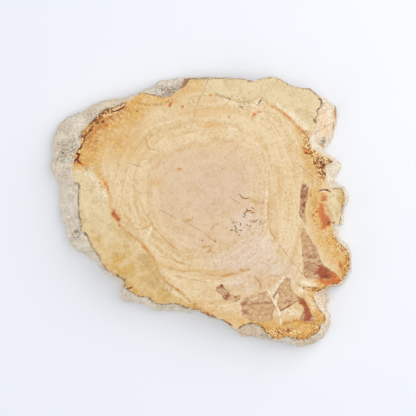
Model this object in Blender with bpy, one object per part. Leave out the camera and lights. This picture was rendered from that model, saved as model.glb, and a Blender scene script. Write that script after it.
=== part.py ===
"""A polished slice of petrified wood.

A fossil log was sawn across: the slice has a flat polished face, a flat sawn underside and, all round,
the rough fossil bark. The bark flares out below the polished face, widest on one side, and the rim is
bitten into by chips, notches and lobes. The log is stone all through, so the slice is one solid.

Metres, +Z up. The origin is on the underside, at the middle of the slice's bounding box.
"""

import math

import bmesh
import bpy
import numpy as np
from mathutils import Vector, geometry, noise

# Driving dimensions
FACE_WIDTH = 0.230
THICKNESS = 0.028
RIM_STEP = 0.0034
CAP_STEP = 0.013

# Relief of the bark: ribs that run down it with the log's grain, on broader lumps
RIB_HEIGHT = 0.0024
RIB_PITCH = 0.0072
GRAIN_STRETCH = 0.25
LUMP_HEIGHT = 0.0042
LUMP_PITCH = 0.016
UNDERCUT = 0.0022

# How the rim is read: pixels of the photograph, which looks straight down on the slice.
# The bark's widest line lies lower than the face, so it is seen smaller by this much.
SEEN_SMALLER = 0.985
GROWTH_CENTRE = (203.0, 198.0)

# Edge of the polished face, clockwise from the middle of the left side
FACE_LEFT_TOP = [
    (72, 170), (73, 165), (73, 160), (74.5, 155), (76, 151), (79, 148), (80.5, 144), (80, 140), (79.5, 136),
    (81.5, 132), (84, 128.5), (88, 125), (90.5, 121.5), (93.5, 118.5), (97, 115.5), (99.5, 112.5), (103, 110),
    (107, 108.5), (111, 108), (115, 107), (118.5, 105), (121, 103), (125, 101.5), (129.5, 100), (134, 97.3),
    (138.5, 94), (142, 92.3), (145.5, 92.3), (149, 93.7), (154, 94.6), (159, 96), (164, 97), (168.5, 96.7),
    (172, 94.5), (175.5, 91.5), (180, 89.3), (183.5, 87.5), (186.5, 84.5), (188.7, 81.5), (189.8, 78.6),
]
FACE_TOP_RIGHT = [
    (200, 78.3), (210, 77.6), (220, 78), (231, 78), (240, 78.2), (244.5, 78.9), (248.5, 80.6), (253, 81),
    (258, 79.9), (263, 78.4), (268, 77.3), (273, 76.9), (277.5, 77.8), (281, 79.8), (285, 82.2), (290, 84.9),
    (295, 87), (300, 88.2), (306, 88.4), (310, 89.4), (313.5, 91.6), (317, 94.8), (320, 98.4), (322.3, 101.4),
    (323.6, 103.2), (321.4, 105.8), (318.4, 109.6), (316.6, 111.6), (318.6, 114.2), (316.6, 117), (314.2, 120),
    (316.6, 122.6), (317.2, 126.5), (317.6, 130.5), (314.6, 133.4), (311.3, 136), (310.4, 140), (311, 144.5),
    (312, 148.6), (316, 149.8), (320, 151.2), (322.4, 154), (326, 155.8), (330, 157.3), (333, 160),
]
FACE_RIGHT = [
    (332, 163), (328.6, 165.6), (327, 169), (326.6, 173), (327, 177.5), (328.6, 182), (330, 186.2), (332, 187.6),
    (336, 188.2), (340.6, 188.4), (343.2, 190), (344.6, 195), (345, 200), (344, 204.5), (342, 209), (341.2, 215),
    (340.6, 221), (339.6, 224.4), (335.8, 224.4), (333.2, 225.2), (334, 229), (333, 233), (335.2, 236.6),
    (339, 241), (342.6, 246), (347, 249.6), (349.4, 254), (350.4, 260), (350.2, 267), (347.4, 273.4),
    (344.2, 279), (341.4, 283.2), (336, 284.6), (330.5, 285.6), (326.6, 287.4), (323.6, 289.4), (318.4, 291.4),
]
FACE_BOTTOM = [
    (315, 294), (314.6, 298.4), (316.4, 303), (318.4, 307.4), (322, 312), (325, 316), (326, 319.4),
    (324.4, 322.6), (321.4, 324.6), (320.4, 328.4), (318.6, 331.8), (315.2, 335), (311.4, 338), (306, 340),
    (300, 340), (294.4, 340), (291, 337.6), (287.6, 336.2), (284, 338), (279, 339.8), (273.6, 339.2),
    (269.4, 337), (266.4, 333.8), (263.8, 330), (261, 326.9), (256.5, 325.1), (251, 324.5), (246, 325),
    (242.4, 326.6), (239.6, 328.9), (235, 328.6), (231.2, 327), (228.6, 323.8), (224, 321.2), (219, 319),
    (214.4, 317.4), (208.6, 316.2), (206, 313.6), (201.4, 312.4), (198, 310.2), (191, 309.6), (186, 307.8),
    (181, 306.4), (177.4, 304.2), (173.6, 303.4), (168, 304.4), (162.4, 304), (157.4, 304.8), (153.4, 301.6),
    (149.4, 299), (144.6, 297.4), (138.8, 296.8), (134.6, 294.8), (130.8, 292), (126.6, 289.6),
]
FACE_LEFT_BOTTOM = [
    (124, 287), (124.2, 283.6), (124.8, 280.4), (120.4, 278), (115.6, 275.4), (110.6, 273), (106.4, 270),
    (103.4, 266), (101, 262), (99.6, 257.6), (96.6, 253), (93, 248.8), (90.4, 244.4), (88.4, 240.4), (87.2, 236),
    (83.6, 233.8), (80.8, 230.8), (80.3, 226), (79.8, 221), (78.8, 216), (78.4, 210.6), (78, 205), (78.2, 199),
    (78.2, 193), (79.4, 188), (78.6, 184.6), (75, 182.8), (72.8, 179.6), (72.6, 175),
]
FACE_EDGE = FACE_LEFT_TOP + FACE_TOP_RIGHT + FACE_RIGHT + FACE_BOTTOM + FACE_LEFT_BOTTOM

# Widest line of the bark, clockwise from the middle of the left side
BARK_LEFT_TOP = [
    (49.5, 167), (50.5, 160.5), (52.5, 155), (52.2, 148), (52.4, 141), (54.2, 134.5), (56.5, 128), (59.5, 122.6),
    (64, 119), (69.5, 116), (75.5, 113.4), (81.5, 111), (86.5, 108.2), (91, 105), (97, 102.4), (103.5, 99.8),
    (110, 98.4), (117.5, 97.8), (124, 97.4), (130, 96.3), (135, 93.8), (139.5, 90.8), (144.5, 88.8), (150, 87.3),
    (154.5, 84), (159.5, 80.7), (165, 79.2), (172, 77.8), (179, 76.8), (187, 76.6),
]
BARK_TOP_RIGHT = [
    (196, 76.6), (206, 75.9), (216, 76), (227, 76.6), (238, 77), (245, 78), (249.6, 79.8), (254, 79.8), (261, 77.6),
    (268, 75.8), (274, 75.2), (279, 76.6), (283, 79.2), (288, 82.4), (294, 85.4), (300, 86.8), (307, 87.2),
    (312, 88.6), (317, 91.6), (322, 96.4), (327, 100.8), (331.5, 103), (335.5, 106), (338, 110.5), (337, 117),
    (335.8, 122.5), (336.2, 127.5), (335, 132), (334, 137), (331.4, 142), (327.8, 146), (324.4, 149.4),
]
BARK_RIGHT = [
    (325, 152.6), (329, 155.4), (333, 157.6), (336.4, 160), (340.2, 162.4), (342.2, 167), (339.4, 171), (336.2, 174.4),
    (335.4, 178.4), (337.6, 182.6), (341.4, 185.6), (345.6, 188.4), (347.4, 194), (347.8, 200), (346.4, 206),
    (344.6, 212), (343.4, 219), (341.6, 225), (337.6, 226.6), (336.6, 230.6), (338.6, 235.6), (342.4, 239.8),
    (347, 242.6), (350.4, 247), (351.8, 253.4), (352.6, 260.6), (352, 267.8), (349, 274), (345.6, 280.4),
    (342.2, 285.4), (335.4, 287.2), (329.4, 288.8),
]
BARK_BOTTOM = [
    (327.6, 292.4), (330, 297), (330.2, 301), (327.4, 305), (326.8, 308.6), (329.4, 312.4), (331.2, 318),
    (331, 324.6), (328.8, 330.6), (325.6, 335.6), (320.8, 339.8), (315, 342.6), (308.6, 345.2), (302, 346.8),
    (297, 346.8), (294.4, 343.6), (289, 341.8), (281, 341.8), (273, 341.6), (266, 340.6), (261.6, 338.6),
    (254.6, 338.2), (247, 338.2), (240.4, 336.4), (235.4, 333.2), (231.2, 330), (227, 326.2), (221, 323),
    (213.4, 320), (206, 318), (200.4, 315.2), (195, 312.4), (187, 311.8), (178, 311.4), (169, 311.6),
    (161, 310.8), (154.4, 308.8), (148.4, 306), (142.4, 303.6), (135.6, 302.6), (129, 302.6), (123.6, 301.4),
]
BARK_LEFT_BOTTOM = [
    (120.4, 298), (119.6, 293), (120.4, 288), (119.6, 283), (117, 278.4), (111, 275.4), (105.4, 271.6),
    (99.6, 266.6), (94, 261.4), (88, 256.4), (81.6, 252), (75.6, 248.8), (71.2, 244.4), (68.4, 239),
    (65.6, 233.6), (64.8, 227.6), (62.8, 221.6), (60.2, 215), (58.6, 208), (58, 201), (58.8, 194.6),
    (60, 189), (58.4, 184.4), (55.6, 180), (52.6, 175.6), (50.6, 171.4),
]
BARK_EDGE = BARK_LEFT_TOP + BARK_TOP_RIGHT + BARK_RIGHT + BARK_BOTTOM + BARK_LEFT_BOTTOM

# The bark from the face down: height as a share of the thickness, the share of the flare reached there,
# and how freely the lumps stand out, which is least at the widest line
BARK_PROFILE = [
    (1.0, 0.0, 0.0), (0.94, 0.07, 0.3), (0.85, 0.23, 0.8), (0.74, 0.44, 1.0), (0.62, 0.65, 0.9),
    (0.49, 0.83, 0.6), (0.36, 0.95, 0.3), (0.23, 1.0, 0.1), (0.11, 0.97, 0.3), (0.0, 0.9, 0.5),
]

# Hollows in the bark, as seen from above: place and radius in pixels, depth in metres
HOLLOWS = [
    (323, 143, 6, 0.0040), (75, 235, 9, 0.0034), (164, 88.5, 9, 0.0034), (60, 156, 8, 0.0024),
    (331, 172, 6, 0.0020), (123, 285, 5, 0.0022), (252, 332, 11, 0.0026), (322, 297, 6, 0.0014),
    (65, 189, 6, 0.0016), (66, 138, 7, 0.0016), (328, 118, 6, 0.0018),
]


def metres_per_pixel():
    """Scale of the photograph at the level of the polished face."""
    across = [x for x, _ in FACE_EDGE]
    return FACE_WIDTH / (max(across) - min(across))


def placed(points):
    """Pixel points as metres round the growth centre, with +Y up the photograph."""
    offset = np.array(points, float) - GROWTH_CENTRE
    return offset * (1, -1) * metres_per_pixel()


def stepped(points, longest):
    """The closed outline with every corner kept and no stretch longer than longest."""
    made = []
    for start, end in zip(points, np.roll(points, -1, axis=0)):
        pieces = max(1, math.ceil(np.linalg.norm(end - start) / longest))
        made += [start + (end - start) * i / pieces for i in range(pieces)]
    return np.array(made)


def radius_towards(points, angles):
    """Distance from the growth centre to a closed outline, in each of the directions."""
    own = np.arctan2(points[:, 1], points[:, 0])
    order = np.argsort(own)
    return np.interp(angles, own[order], np.linalg.norm(points, axis=1)[order], period=2 * math.pi)


def relief(place, freedom):
    """How far the bark stands out at a place: ribs along the log's grain, on broader lumps."""
    grain = Vector((place.x, place.y, place.z * GRAIN_STRETCH))
    rib = abs(noise.noise(grain / RIB_PITCH)) - 0.25
    lump = noise.noise(place / LUMP_PITCH)
    return RIB_HEIGHT * rib + LUMP_HEIGHT * freedom * lump


def hollow_depths(points):
    """Depth of the hollows at each of the points, which are in metres round the growth centre."""
    depths = np.zeros(len(points))
    for across, down, radius, deepest in HOLLOWS:
        away = np.linalg.norm(points - placed([(across, down)]), axis=1) / (radius * metres_per_pixel())
        depths += deepest * np.clip(1 - away ** 2, 0, 1) ** 2
    return depths


def bark_rows():
    """Rings of points down the side, from the polished face's edge to the underside's."""
    edge = stepped(placed(FACE_EDGE), RIM_STEP)
    angles = np.arctan2(edge[:, 1], edge[:, 0])
    directions = np.stack([np.cos(angles), np.sin(angles)], axis=1)
    face_radius = np.linalg.norm(edge, axis=1)
    flare = radius_towards(placed(BARK_EDGE), angles) / SEEN_SMALLER - face_radius
    rows = []
    for height, reached, freedom in BARK_PROFILE:
        z = height * THICKNESS
        radius = face_radius + flare * reached - UNDERCUT * (1 - height) ** 2
        if height < 1:
            plain = directions * radius[:, None]
            radius += [relief(Vector((x, y, z)), freedom) for x, y in plain]
            radius -= hollow_depths(plain)
        rows.append(np.column_stack([directions * radius[:, None], np.full(len(radius), z)]))
    return rows


def even_grid(outline, step):
    """Points of an even triangular grid that lie well inside an outline."""
    count = math.ceil(np.abs(outline).max() / step)
    row, column = np.mgrid[-count:count + 1, -count:count + 1]
    x = (column + 0.5 * (row % 2)) * step
    y = row * step * math.sqrt(0.75)
    room = radius_towards(outline, np.arctan2(y, x)) - np.hypot(x, y)
    inside = room > 0.6 * step
    return np.column_stack([x[inside], y[inside]])


def fill_flat(mesh, ring):
    """Closes a ring of vertices with a flat face of even triangles."""
    outline = np.array([vertex.co.xy for vertex in ring])
    z = ring[0].co.z
    points = [Vector(point) for point in [*outline, *even_grid(outline, CAP_STEP)]]
    border = [(i, (i + 1) % len(ring)) for i in range(len(ring))]
    inside_border = 1
    found, _, triangles, origins, _, _ = geometry.delaunay_2d_cdt(points, border, [], inside_border, 1e-7)
    corners = [
        ring[origin[0]] if origin[0] < len(ring) else mesh.verts.new((*place, z))
        for place, origin in zip(found, origins)
    ]
    for triangle in triangles:
        mesh.faces.new([corners[i] for i in triangle])


def slice_mesh():
    """The whole slice as one closed mesh, with the middle of its box over the origin."""
    rows = bark_rows()
    every = np.concatenate(rows)
    middle = (every.min(axis=0) + every.max(axis=0)) / 2
    mesh = bmesh.new()
    rings = [[mesh.verts.new(point) for point in row] for row in rows]
    for upper, lower in zip(rings, rings[1:]):
        for i in range(len(upper)):
            j = (i + 1) % len(upper)
            mesh.faces.new((upper[i], upper[j], lower[j], lower[i]))
    fill_flat(mesh, rings[0])
    fill_flat(mesh, rings[-1])
    bmesh.ops.triangulate(mesh, faces=mesh.faces, quad_method="SHORT_EDGE")
    bmesh.ops.translate(mesh, verts=mesh.verts, vec=(-middle[0], -middle[1], 0))
    bmesh.ops.recalc_face_normals(mesh, faces=mesh.faces)
    data = bpy.data.meshes.new("petrified_wood_slice")
    mesh.to_mesh(data)
    mesh.free()
    return data


def stone_material():
    """Golden tan agatised wood, polished."""
    material = bpy.data.materials.new("petrified_wood")
    material.use_nodes = True
    shader = material.node_tree.nodes["Principled BSDF"]
    shader.inputs["Base Color"].default_value = (0.76, 0.57, 0.34, 1)
    shader.inputs["Roughness"].default_value = 0.3
    shader.inputs["Metallic"].default_value = 0.0
    return material


def main():
    for old in list(bpy.data.objects):
        bpy.data.objects.remove(old)
    data = slice_mesh()
    data.materials.append(stone_material())
    data.set_sharp_from_angle(angle=math.radians(40))
    stone = bpy.data.objects.new("petrified_wood_slice", data)
    bpy.context.collection.objects.link(stone)


main()
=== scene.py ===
# %% [markdown]
# Petrified wood slice. A fossil log has turned to silica, was sawn across and polished on one side. This
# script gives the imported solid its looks. The solid has the right outline and the right bark, but it is
# coarse, so it is measured here and built again as a much finer mesh, and then it is painted the way a
# person would paint it: the growth rings first, then the stained zones, patches and cracks one by one.

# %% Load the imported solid
import math

import bmesh
import bpy
import numpy as np
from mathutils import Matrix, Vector, bvhtree, geometry


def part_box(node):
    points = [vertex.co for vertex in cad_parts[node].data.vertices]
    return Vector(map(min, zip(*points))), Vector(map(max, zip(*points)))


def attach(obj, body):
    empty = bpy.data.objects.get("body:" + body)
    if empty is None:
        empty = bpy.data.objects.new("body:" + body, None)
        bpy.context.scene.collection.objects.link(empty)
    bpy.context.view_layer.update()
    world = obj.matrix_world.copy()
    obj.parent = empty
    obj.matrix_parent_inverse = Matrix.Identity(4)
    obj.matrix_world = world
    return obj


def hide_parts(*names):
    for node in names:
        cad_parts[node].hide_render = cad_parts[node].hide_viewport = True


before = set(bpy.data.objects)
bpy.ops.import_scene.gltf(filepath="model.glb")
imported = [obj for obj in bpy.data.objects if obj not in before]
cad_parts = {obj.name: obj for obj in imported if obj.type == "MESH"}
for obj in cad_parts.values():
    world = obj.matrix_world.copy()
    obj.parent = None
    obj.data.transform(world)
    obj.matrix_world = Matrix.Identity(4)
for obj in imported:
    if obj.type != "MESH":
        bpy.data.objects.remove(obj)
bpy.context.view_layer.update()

NODE = "petrified_wood_slice"
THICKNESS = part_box(NODE)[1].z

# %% [markdown]
# Places on the face are read off the photograph in pixels, because it looks straight down on the slice.
# The polished face is as wide on the solid as it is in the photograph, and that gives the scale: the
# outermost corners of the face are known in pixels and in metres. A reader without the photograph can take
# a pixel as a square of about 0.83 mm, with x to the right and y downwards.

# %% Pixels and metres
FACE_LEFT, FACE_RIGHT = 72.0, 350.4
FACE_TOP = 76.9
GROWTH_CENTRE_PX = (203.0, 198.0)
# A vertex this near to the top lies in the face.
LEVEL = 1e-5

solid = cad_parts[NODE].data
corners = np.array([vertex.co for vertex in solid.vertices])
upper = corners[corners[:, 2] > THICKNESS - LEVEL]
PIXEL = float(np.ptp(upper[:, 0])) / (FACE_RIGHT - FACE_LEFT)
CORNER = np.array([upper[:, 0].min() - FACE_LEFT * PIXEL, upper[:, 1].max() + FACE_TOP * PIXEL])


def at(points):
    """Photograph pixels as metres in the slice's own frame."""
    return np.array(points, float) * (PIXEL, -PIXEL) + CORNER


def pixels(places):
    """The way back: metres to photograph pixels."""
    return (np.asarray(places)[:, :2] - CORNER) / (PIXEL, -PIXEL)


CENTRE = at(GROWTH_CENTRE_PX)
print("one pixel is %.3f mm, growth centre at %.1f, %.1f mm" % (PIXEL * 1000, *(CENTRE * 1000)))

# %% [markdown]
# The side of the slice is a band of bark. Rays from the growth centre measure how far out the solid's bark
# lies, station by station round the rim and row by row down the side. A fine band of quads is then laid
# over those radii. Spacing the stations by the length of the rim, and not by angle, keeps the small
# notches of the rim as finely divided as its long smooth stretches. Along the top and at the low edge the
# photograph shows next to no bark beyond the face, so there the rows are pulled in towards the rim.

# %% Measure the bark
STATION_STEP = 0.00095
BARK_ROWS = 34
# Past 1, rows lie closer together near the rim.
ROW_CROWDING = 1.15
RAY_MARGIN = 2e-4
SAME_PLACE = 1e-6
# Stretches with next to no bark, each (x, y, size) in pixels.
BARE_RIM = [
    (200, 79, 14), (222, 78, 22), (250, 80, 22), (278, 79, 22), (300, 88, 14), (316, 90, 9), (204, 313, 10),
    (218, 320, 12), (230, 327, 8),
]
# A bare stretch fades out at this many of its sizes.
BARE_FADE = 1.4
PULLED_IN = 0.65

block = bmesh.new()
block.from_mesh(solid)
bmesh.ops.remove_doubles(block, verts=block.verts, dist=SAME_PLACE)
shell = bvhtree.BVHTree.FromBMesh(block)


def on_top(vertex):
    """Whether a vertex of the solid lies in the polished face."""
    return vertex.co.z > THICKNESS - LEVEL


rim = [
    vertex.co.xy
    for vertex in block.verts
    if on_top(vertex) and not all(on_top(edge.other_vert(vertex)) for edge in vertex.link_edges)
]
block.free()


def turned(points):
    """Angle of each point round the growth centre."""
    away = np.asarray(points) - CENTRE
    return np.arctan2(away[:, 1], away[:, 0])


rim = np.array(rim)[np.argsort(turned(rim))]
around = np.vstack([rim, rim[:1]])
run = np.concatenate([[0], np.cumsum(np.linalg.norm(np.diff(around, axis=0), axis=1))])
stations = np.arange(0, run[-1], STATION_STEP)
rim = np.column_stack([np.interp(stations, run, around[:, 0]), np.interp(stations, run, around[:, 1])])
outward = (rim - CENTRE) / np.linalg.norm(rim - CENTRE, axis=1)[:, None]
rim_radius = np.linalg.norm(rim - CENTRE, axis=1)
heights = THICKNESS * (1 - np.linspace(0, 1, BARK_ROWS) ** ROW_CROWDING)


def reach(height):
    """How far the solid's bark lies from the growth axis at a height, for every station."""
    z = min(max(height, RAY_MARGIN), THICKNESS - RAY_MARGIN)
    found = []
    for (x, y), radius in zip(outward, rim_radius):
        place = shell.ray_cast(Vector((*CENTRE, z)), Vector((x, y, 0)))[0]
        found.append(radius if place is None else (place.xy - Vector(CENTRE)).length)
    return np.array(found)


radii = np.array([rim_radius, *[reach(height) for height in heights[1:]]])
rim_px = pixels(rim)
bare = np.zeros(len(rim))
for x, y, size in BARE_RIM:
    away_px = np.hypot(rim_px[:, 0] - x, rim_px[:, 1] - y)
    bare = np.maximum(bare, np.clip(BARE_FADE - away_px / size, 0, 1))
radii = rim_radius + (radii - rim_radius) * (1 - PULLED_IN * bare)
print("rim %.0f mm long, %d stations, %d rows" % (run[-1] * 1000, len(rim), BARK_ROWS))

# %% [markdown]
# The polished face and the sawn underside are flat. They are filled with an even net of small triangles by
# a constrained Delaunay triangulation, which keeps every point of the rim. The polished face has a fine
# net, because every vertex there will carry what the paint needs to know: how far it is from each
# boundary, patch and crack. Those distances are smooth, so the shader can draw edges from them that are
# far sharper than the net.

# %% Fill the flat faces
FACE_STEP = 0.00118
BASE_STEP = 0.0045
# Rows of the net lie closer than its columns, so it takes more of them to cross the face.
SPARE_ROWS = 1.2
# The net keeps this many steps away from the rim, so that no sliver lies between.
RIM_GAP = 0.75
INSIDE_ONLY = 1
MERGED_WITHIN = 1e-7


def net(outline, step):
    """An even triangular net of points that lie inside a closed outline round the growth centre."""
    reach_out = np.abs(outline - CENTRE).max()
    count = math.ceil(reach_out / step * SPARE_ROWS)
    row, column = np.mgrid[-count:count + 1, -count:count + 1]
    points = np.column_stack([(column + 0.5 * (row % 2)).ravel(), row.ravel() * math.sqrt(0.75)]) * step
    angle = turned(outline)
    order = np.argsort(angle)
    radius = np.linalg.norm(outline - CENTRE, axis=1)
    edge = np.interp(np.arctan2(points[:, 1], points[:, 0]), angle[order], radius[order], period=2 * math.pi)
    return points[np.linalg.norm(points, axis=1) < edge - RIM_GAP * step] + CENTRE


def filled(outline, step, extra=()):
    """Triangles over a flat outline. The outline's own points come first and in order."""
    inner = net(outline, step)
    points = [Vector(point) for point in [*outline, *inner, *extra]]
    border = [(i, (i + 1) % len(outline)) for i in range(len(outline))]
    woven = geometry.delaunay_2d_cdt(points, border, [], INSIDE_ONLY, MERGED_WITHIN)
    found, _, triangles, origins, _, _ = woven
    kept = [i for i, origin in enumerate(origins) if origin[0] < len(outline)]
    number = {i: origins[i][0] for i in kept}
    for i in range(len(found)):
        number.setdefault(i, len(outline) + len(number) - len(kept))
    ordered = sorted(range(len(found)), key=number.get)
    return np.array([found[i] for i in ordered]), [[number[i] for i in triangle] for triangle in triangles]


print("net of %.2f mm on the face, %.1f mm below" % (FACE_STEP * 1000, BASE_STEP * 1000))

# %% [markdown]
# The dark seam between two lobes at the lower right is a real groove in the polished face. Extra rows of
# points beside it give the net something to sink. The scatter of tiny marks beside the heart also needs a
# closer net, so that each mark keeps its own shape.

# %% Assemble the fine mesh
SEAM = [(296, 283.5), (300, 286), (304, 288.6), (310, 288.8), (315, 289.6), (319, 290.2), (324, 289)]
SEAM_WIDTH_PX = 1.1
SEAM_DEPTH = 0.0007
SEAM_STEP_PX = 0.8
SEAM_ROWS_PX = (-1.2, -0.6, 0, 0.6, 1.2)
MARKS_MIDDLE_PX = (246, 214)
MARKS_HALF_PX = (19, 23)
MARK_STEP_PX = 0.75


def along(points, step):
    """Evenly spaced points on an open line of pixels, with the direction of the line at each."""
    line = np.array(points, float)
    length = np.concatenate([[0], np.cumsum(np.linalg.norm(np.diff(line, axis=0), axis=1))])
    marks = np.linspace(0, length[-1], max(2, round(length[-1] / step)))
    placed = np.column_stack([np.interp(marks, length, line[:, k]) for k in (0, 1)])
    direction = np.gradient(placed, axis=0)
    return placed, direction / np.linalg.norm(direction, axis=1)[:, None]


seam_line, seam_way = along(SEAM[:-1], SEAM_STEP_PX)
seam_across = np.column_stack([-seam_way[:, 1], seam_way[:, 0]])
beside = np.vstack([seam_line + seam_across * shift for shift in SEAM_ROWS_PX])
marks_across, marks_down = [
    np.arange(middle - half - 1, middle + half + 1, MARK_STEP_PX)
    for middle, half in zip(MARKS_MIDDLE_PX, MARKS_HALF_PX)
]
marks = np.stack(np.meshgrid(marks_across, marks_down), axis=-1).reshape(-1, 2)
closer = marks[np.sum(((marks - MARKS_MIDDLE_PX) / MARKS_HALF_PX) ** 2, axis=1) < 1]
face_points, face_triangles = filled(rim, FACE_STEP, at([*beside, *closer]))

base_ring = CENTRE + outward * radii[-1][:, None]
base_points, base_triangles = filled(base_ring, BASE_STEP)
count = len(rim)
sides = [
    np.column_stack([CENTRE + outward * radius[:, None], np.full(count, height)])
    for radius, height in zip(radii[1:-1], heights[1:-1])
]
face_flat = np.column_stack([face_points, np.full(len(face_points), THICKNESS)])
base_flat = np.column_stack([base_points, np.zeros(len(base_points))])
places = np.vstack([face_flat, *sides, base_flat])
base_start = len(places) - len(base_flat)
ring_starts = [0, *(len(face_flat) + k * count for k in range(len(sides))), base_start]
quads = [
    (a + i, b + i, b + (i + 1) % count, a + (i + 1) % count)
    for a, b in zip(ring_starts, ring_starts[1:])
    for i in range(count)
]
base_faces = [[base_start + i for i in reversed(triangle)] for triangle in base_triangles]
faces = [*face_triangles, *quads, *base_faces]
slice_mesh = bpy.data.meshes.new("petrified_slice")
slice_mesh.from_pydata(places.tolist(), [], faces)
slab = bpy.data.objects.new("petrified_slice", slice_mesh)
bpy.context.scene.collection.objects.link(slab)
on_face = np.arange(len(places)) < len(face_flat)
on_base = np.arange(len(places)) >= base_start
print(len(places), "vertices,", len(face_triangles) + 2 * len(quads) + len(base_faces), "triangles")

# %% [markdown]
# The paint needs facts at each vertex: distances and soft spots. They are kept as attributes, and every
# one is placed in pixels of the photograph. `spots` is for soft patches, `stroke` for lines that fade
# sideways, and `strongest` for a stain that has both. `inside` gives the distance to a closed outline,
# positive within it, from which the shader can draw a crisp edge.

# %% Measuring tools for the paint
FAR = 1e9
TINY = 1e-9

spot_px = pixels(places)
X, Y = spot_px.T


def keep(name, values):
    """Stores one number for each vertex."""
    attribute = slice_mesh.attributes.new(name, "FLOAT", "POINT")
    attribute.data.foreach_set("value", np.asarray(values, np.float32))


def spots(*dabs):
    """Soft oval patches, each (x, y, half width, half height, strength, turn in degrees)."""
    total = np.zeros(len(X))
    for x, y, wide, high, strength, *turn in dabs:
        angle = math.radians(turn[0] if turn else 0)
        u = (X - x) * math.cos(angle) + (Y - y) * math.sin(angle)
        v = (Y - y) * math.cos(angle) - (X - x) * math.sin(angle)
        total = np.maximum(total, strength * np.exp(-(u / wide) ** 2 - (v / high) ** 2))
    return total


def line_distance(points, closed=False):
    """Distance to a line of pixels, and which side of it each vertex lies on."""
    line = np.array(points, float)
    ends = np.roll(line, -1, axis=0) if closed else line[1:]
    best = np.full(len(X), FAR)
    side = np.ones(len(X))
    for (ax, ay), (bx, by) in zip(line, ends):
        along_x, along_y = bx - ax, by - ay
        share = ((X - ax) * along_x + (Y - ay) * along_y) / (along_x ** 2 + along_y ** 2)
        share = np.clip(share, 0, 1)
        away = np.hypot(X - ax - share * along_x, Y - ay - share * along_y)
        turn = np.sign((X - ax) * along_y - (Y - ay) * along_x)
        nearer = away < best - TINY
        best = np.where(nearer, away, best)
        side = np.where(nearer, turn, side)
    return best, side


def stroke(points, width, strength=1.0):
    """A line that fades sideways over a width in pixels."""
    return strength * np.exp(-(line_distance(points)[0] / width) ** 2)


def strongest(dabs=(), strokes=()):
    """A stain of soft patches and strokes, each stroke (points, width, strength)."""
    return np.maximum.reduce([spots(*dabs), *[stroke(*drawn) for drawn in strokes]])


def inside(points):
    """Distance in pixels to a closed outline, positive within it."""
    distance = line_distance(points, closed=True)[0]
    line = np.array(points, float)
    within = np.zeros(len(X), bool)
    for (ax, ay), (bx, by) in zip(line, np.roll(line, -1, axis=0)):
        crosses = (ay > Y) != (by > Y)
        height = by - ay if by != ay else TINY
        within ^= crosses & (X < ax + (Y - ay) * (bx - ax) / height)
    return np.where(within, distance, -distance)


def inside_any(outlines):
    """The same for several outlines."""
    return np.maximum.reduce([inside(outline) for outline in outlines])


face_px = spot_px[on_face]
print("face reaches from pixel", face_px.min(axis=0).round(1), "to", face_px.max(axis=0).round(1))

# %% [markdown]
# Growth rings are not circles: each follows the shape the tree had that year. One ring that shows well was
# read off all the way round, and a vertex's ring number is its distance from the growth centre as a share
# of that ring's. The shader draws every other ring from this one number.

# %% Growth rings
SHOWN_RING = [
    (270, 195), (268, 225), (258, 247), (235, 262), (203, 266), (172, 256), (150, 240), (139, 217),
    (134, 192), (138, 165), (152, 145), (176, 132), (206, 127), (236, 130), (257, 143), (267, 165),
]
RING_SIZE_PX = 68.0
# Every third station is close enough to measure the distance to the rim.
RIM_THINNING = 3

shown = np.array(SHOWN_RING, float) - GROWTH_CENTRE_PX
shown_angle = np.arctan2(-shown[:, 1], shown[:, 0])
order = np.argsort(shown_angle)
angle = np.arctan2(-(Y - GROWTH_CENTRE_PX[1]), X - GROWTH_CENTRE_PX[0])
ring_radius = np.interp(angle, shown_angle[order], np.linalg.norm(shown, axis=1)[order], period=2 * math.pi)
from_centre = np.hypot(X - GROWTH_CENTRE_PX[0], Y - GROWTH_CENTRE_PX[1])
ring = RING_SIZE_PX * from_centre / ring_radius
keep("ring", ring)
rim_distance = line_distance(rim_px[::RIM_THINNING], closed=True)[0]
keep("rim", rim_distance)
print("ring numbers run to %.0f" % ring.max())

# %% [markdown]
# Sapwood, the outer living wood of the tree, turned to a smoother khaki stone. It lies in two fields, at
# the lower left and along the top, with a small lobe at the right.

# %% Sapwood fields
SAP_LINE = [
    (93, 164), (94.6, 168), (97.4, 174), (101, 180), (105.3, 185.4), (108.5, 192), (110.6, 199), (111.8, 208),
    (114, 216), (120, 225), (126, 230.5), (132, 234.5), (141.6, 242), (149, 252), (156, 262), (158.5, 270),
    (163, 279), (170, 284.7), (178.4, 290), (187.6, 299), (195.7, 307), (200, 316),
]
SAP_LOWER_LEFT = [
    *SAP_LINE, (200, 335), (150, 330), (90, 300), (50, 250), (50, 185), (66, 173), (78, 169), (87, 166),
]
SAP_TOP_LINE = [
    (208.4, 92.6), (215, 94), (223.7, 95.6), (231, 98.5), (239, 100.7), (245, 101), (251, 99.7), (256, 96.5),
    (260, 95.6), (265.5, 99.7), (274.7, 105.8), (282, 111), (290, 117), (295, 122), (299.2, 127.2),
    (304, 130.5), (308.4, 132.3), (314, 131.4),
]
SAP_TOP = [(206, 60), (208.4, 79), (206.5, 87), *SAP_TOP_LINE, (330, 129), (350, 100), (320, 60)]
SAP_LOBE = [(331, 189), (341, 184), (352, 186), (352, 226), (337, 228), (334, 221), (333, 210), (330.5, 200)]

# Down the lower field the khaki turns to tan.
LOW_FROM_PX, LOW_SPAN_PX = 175, 110
LOW_MARGIN_PX = 4

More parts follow.
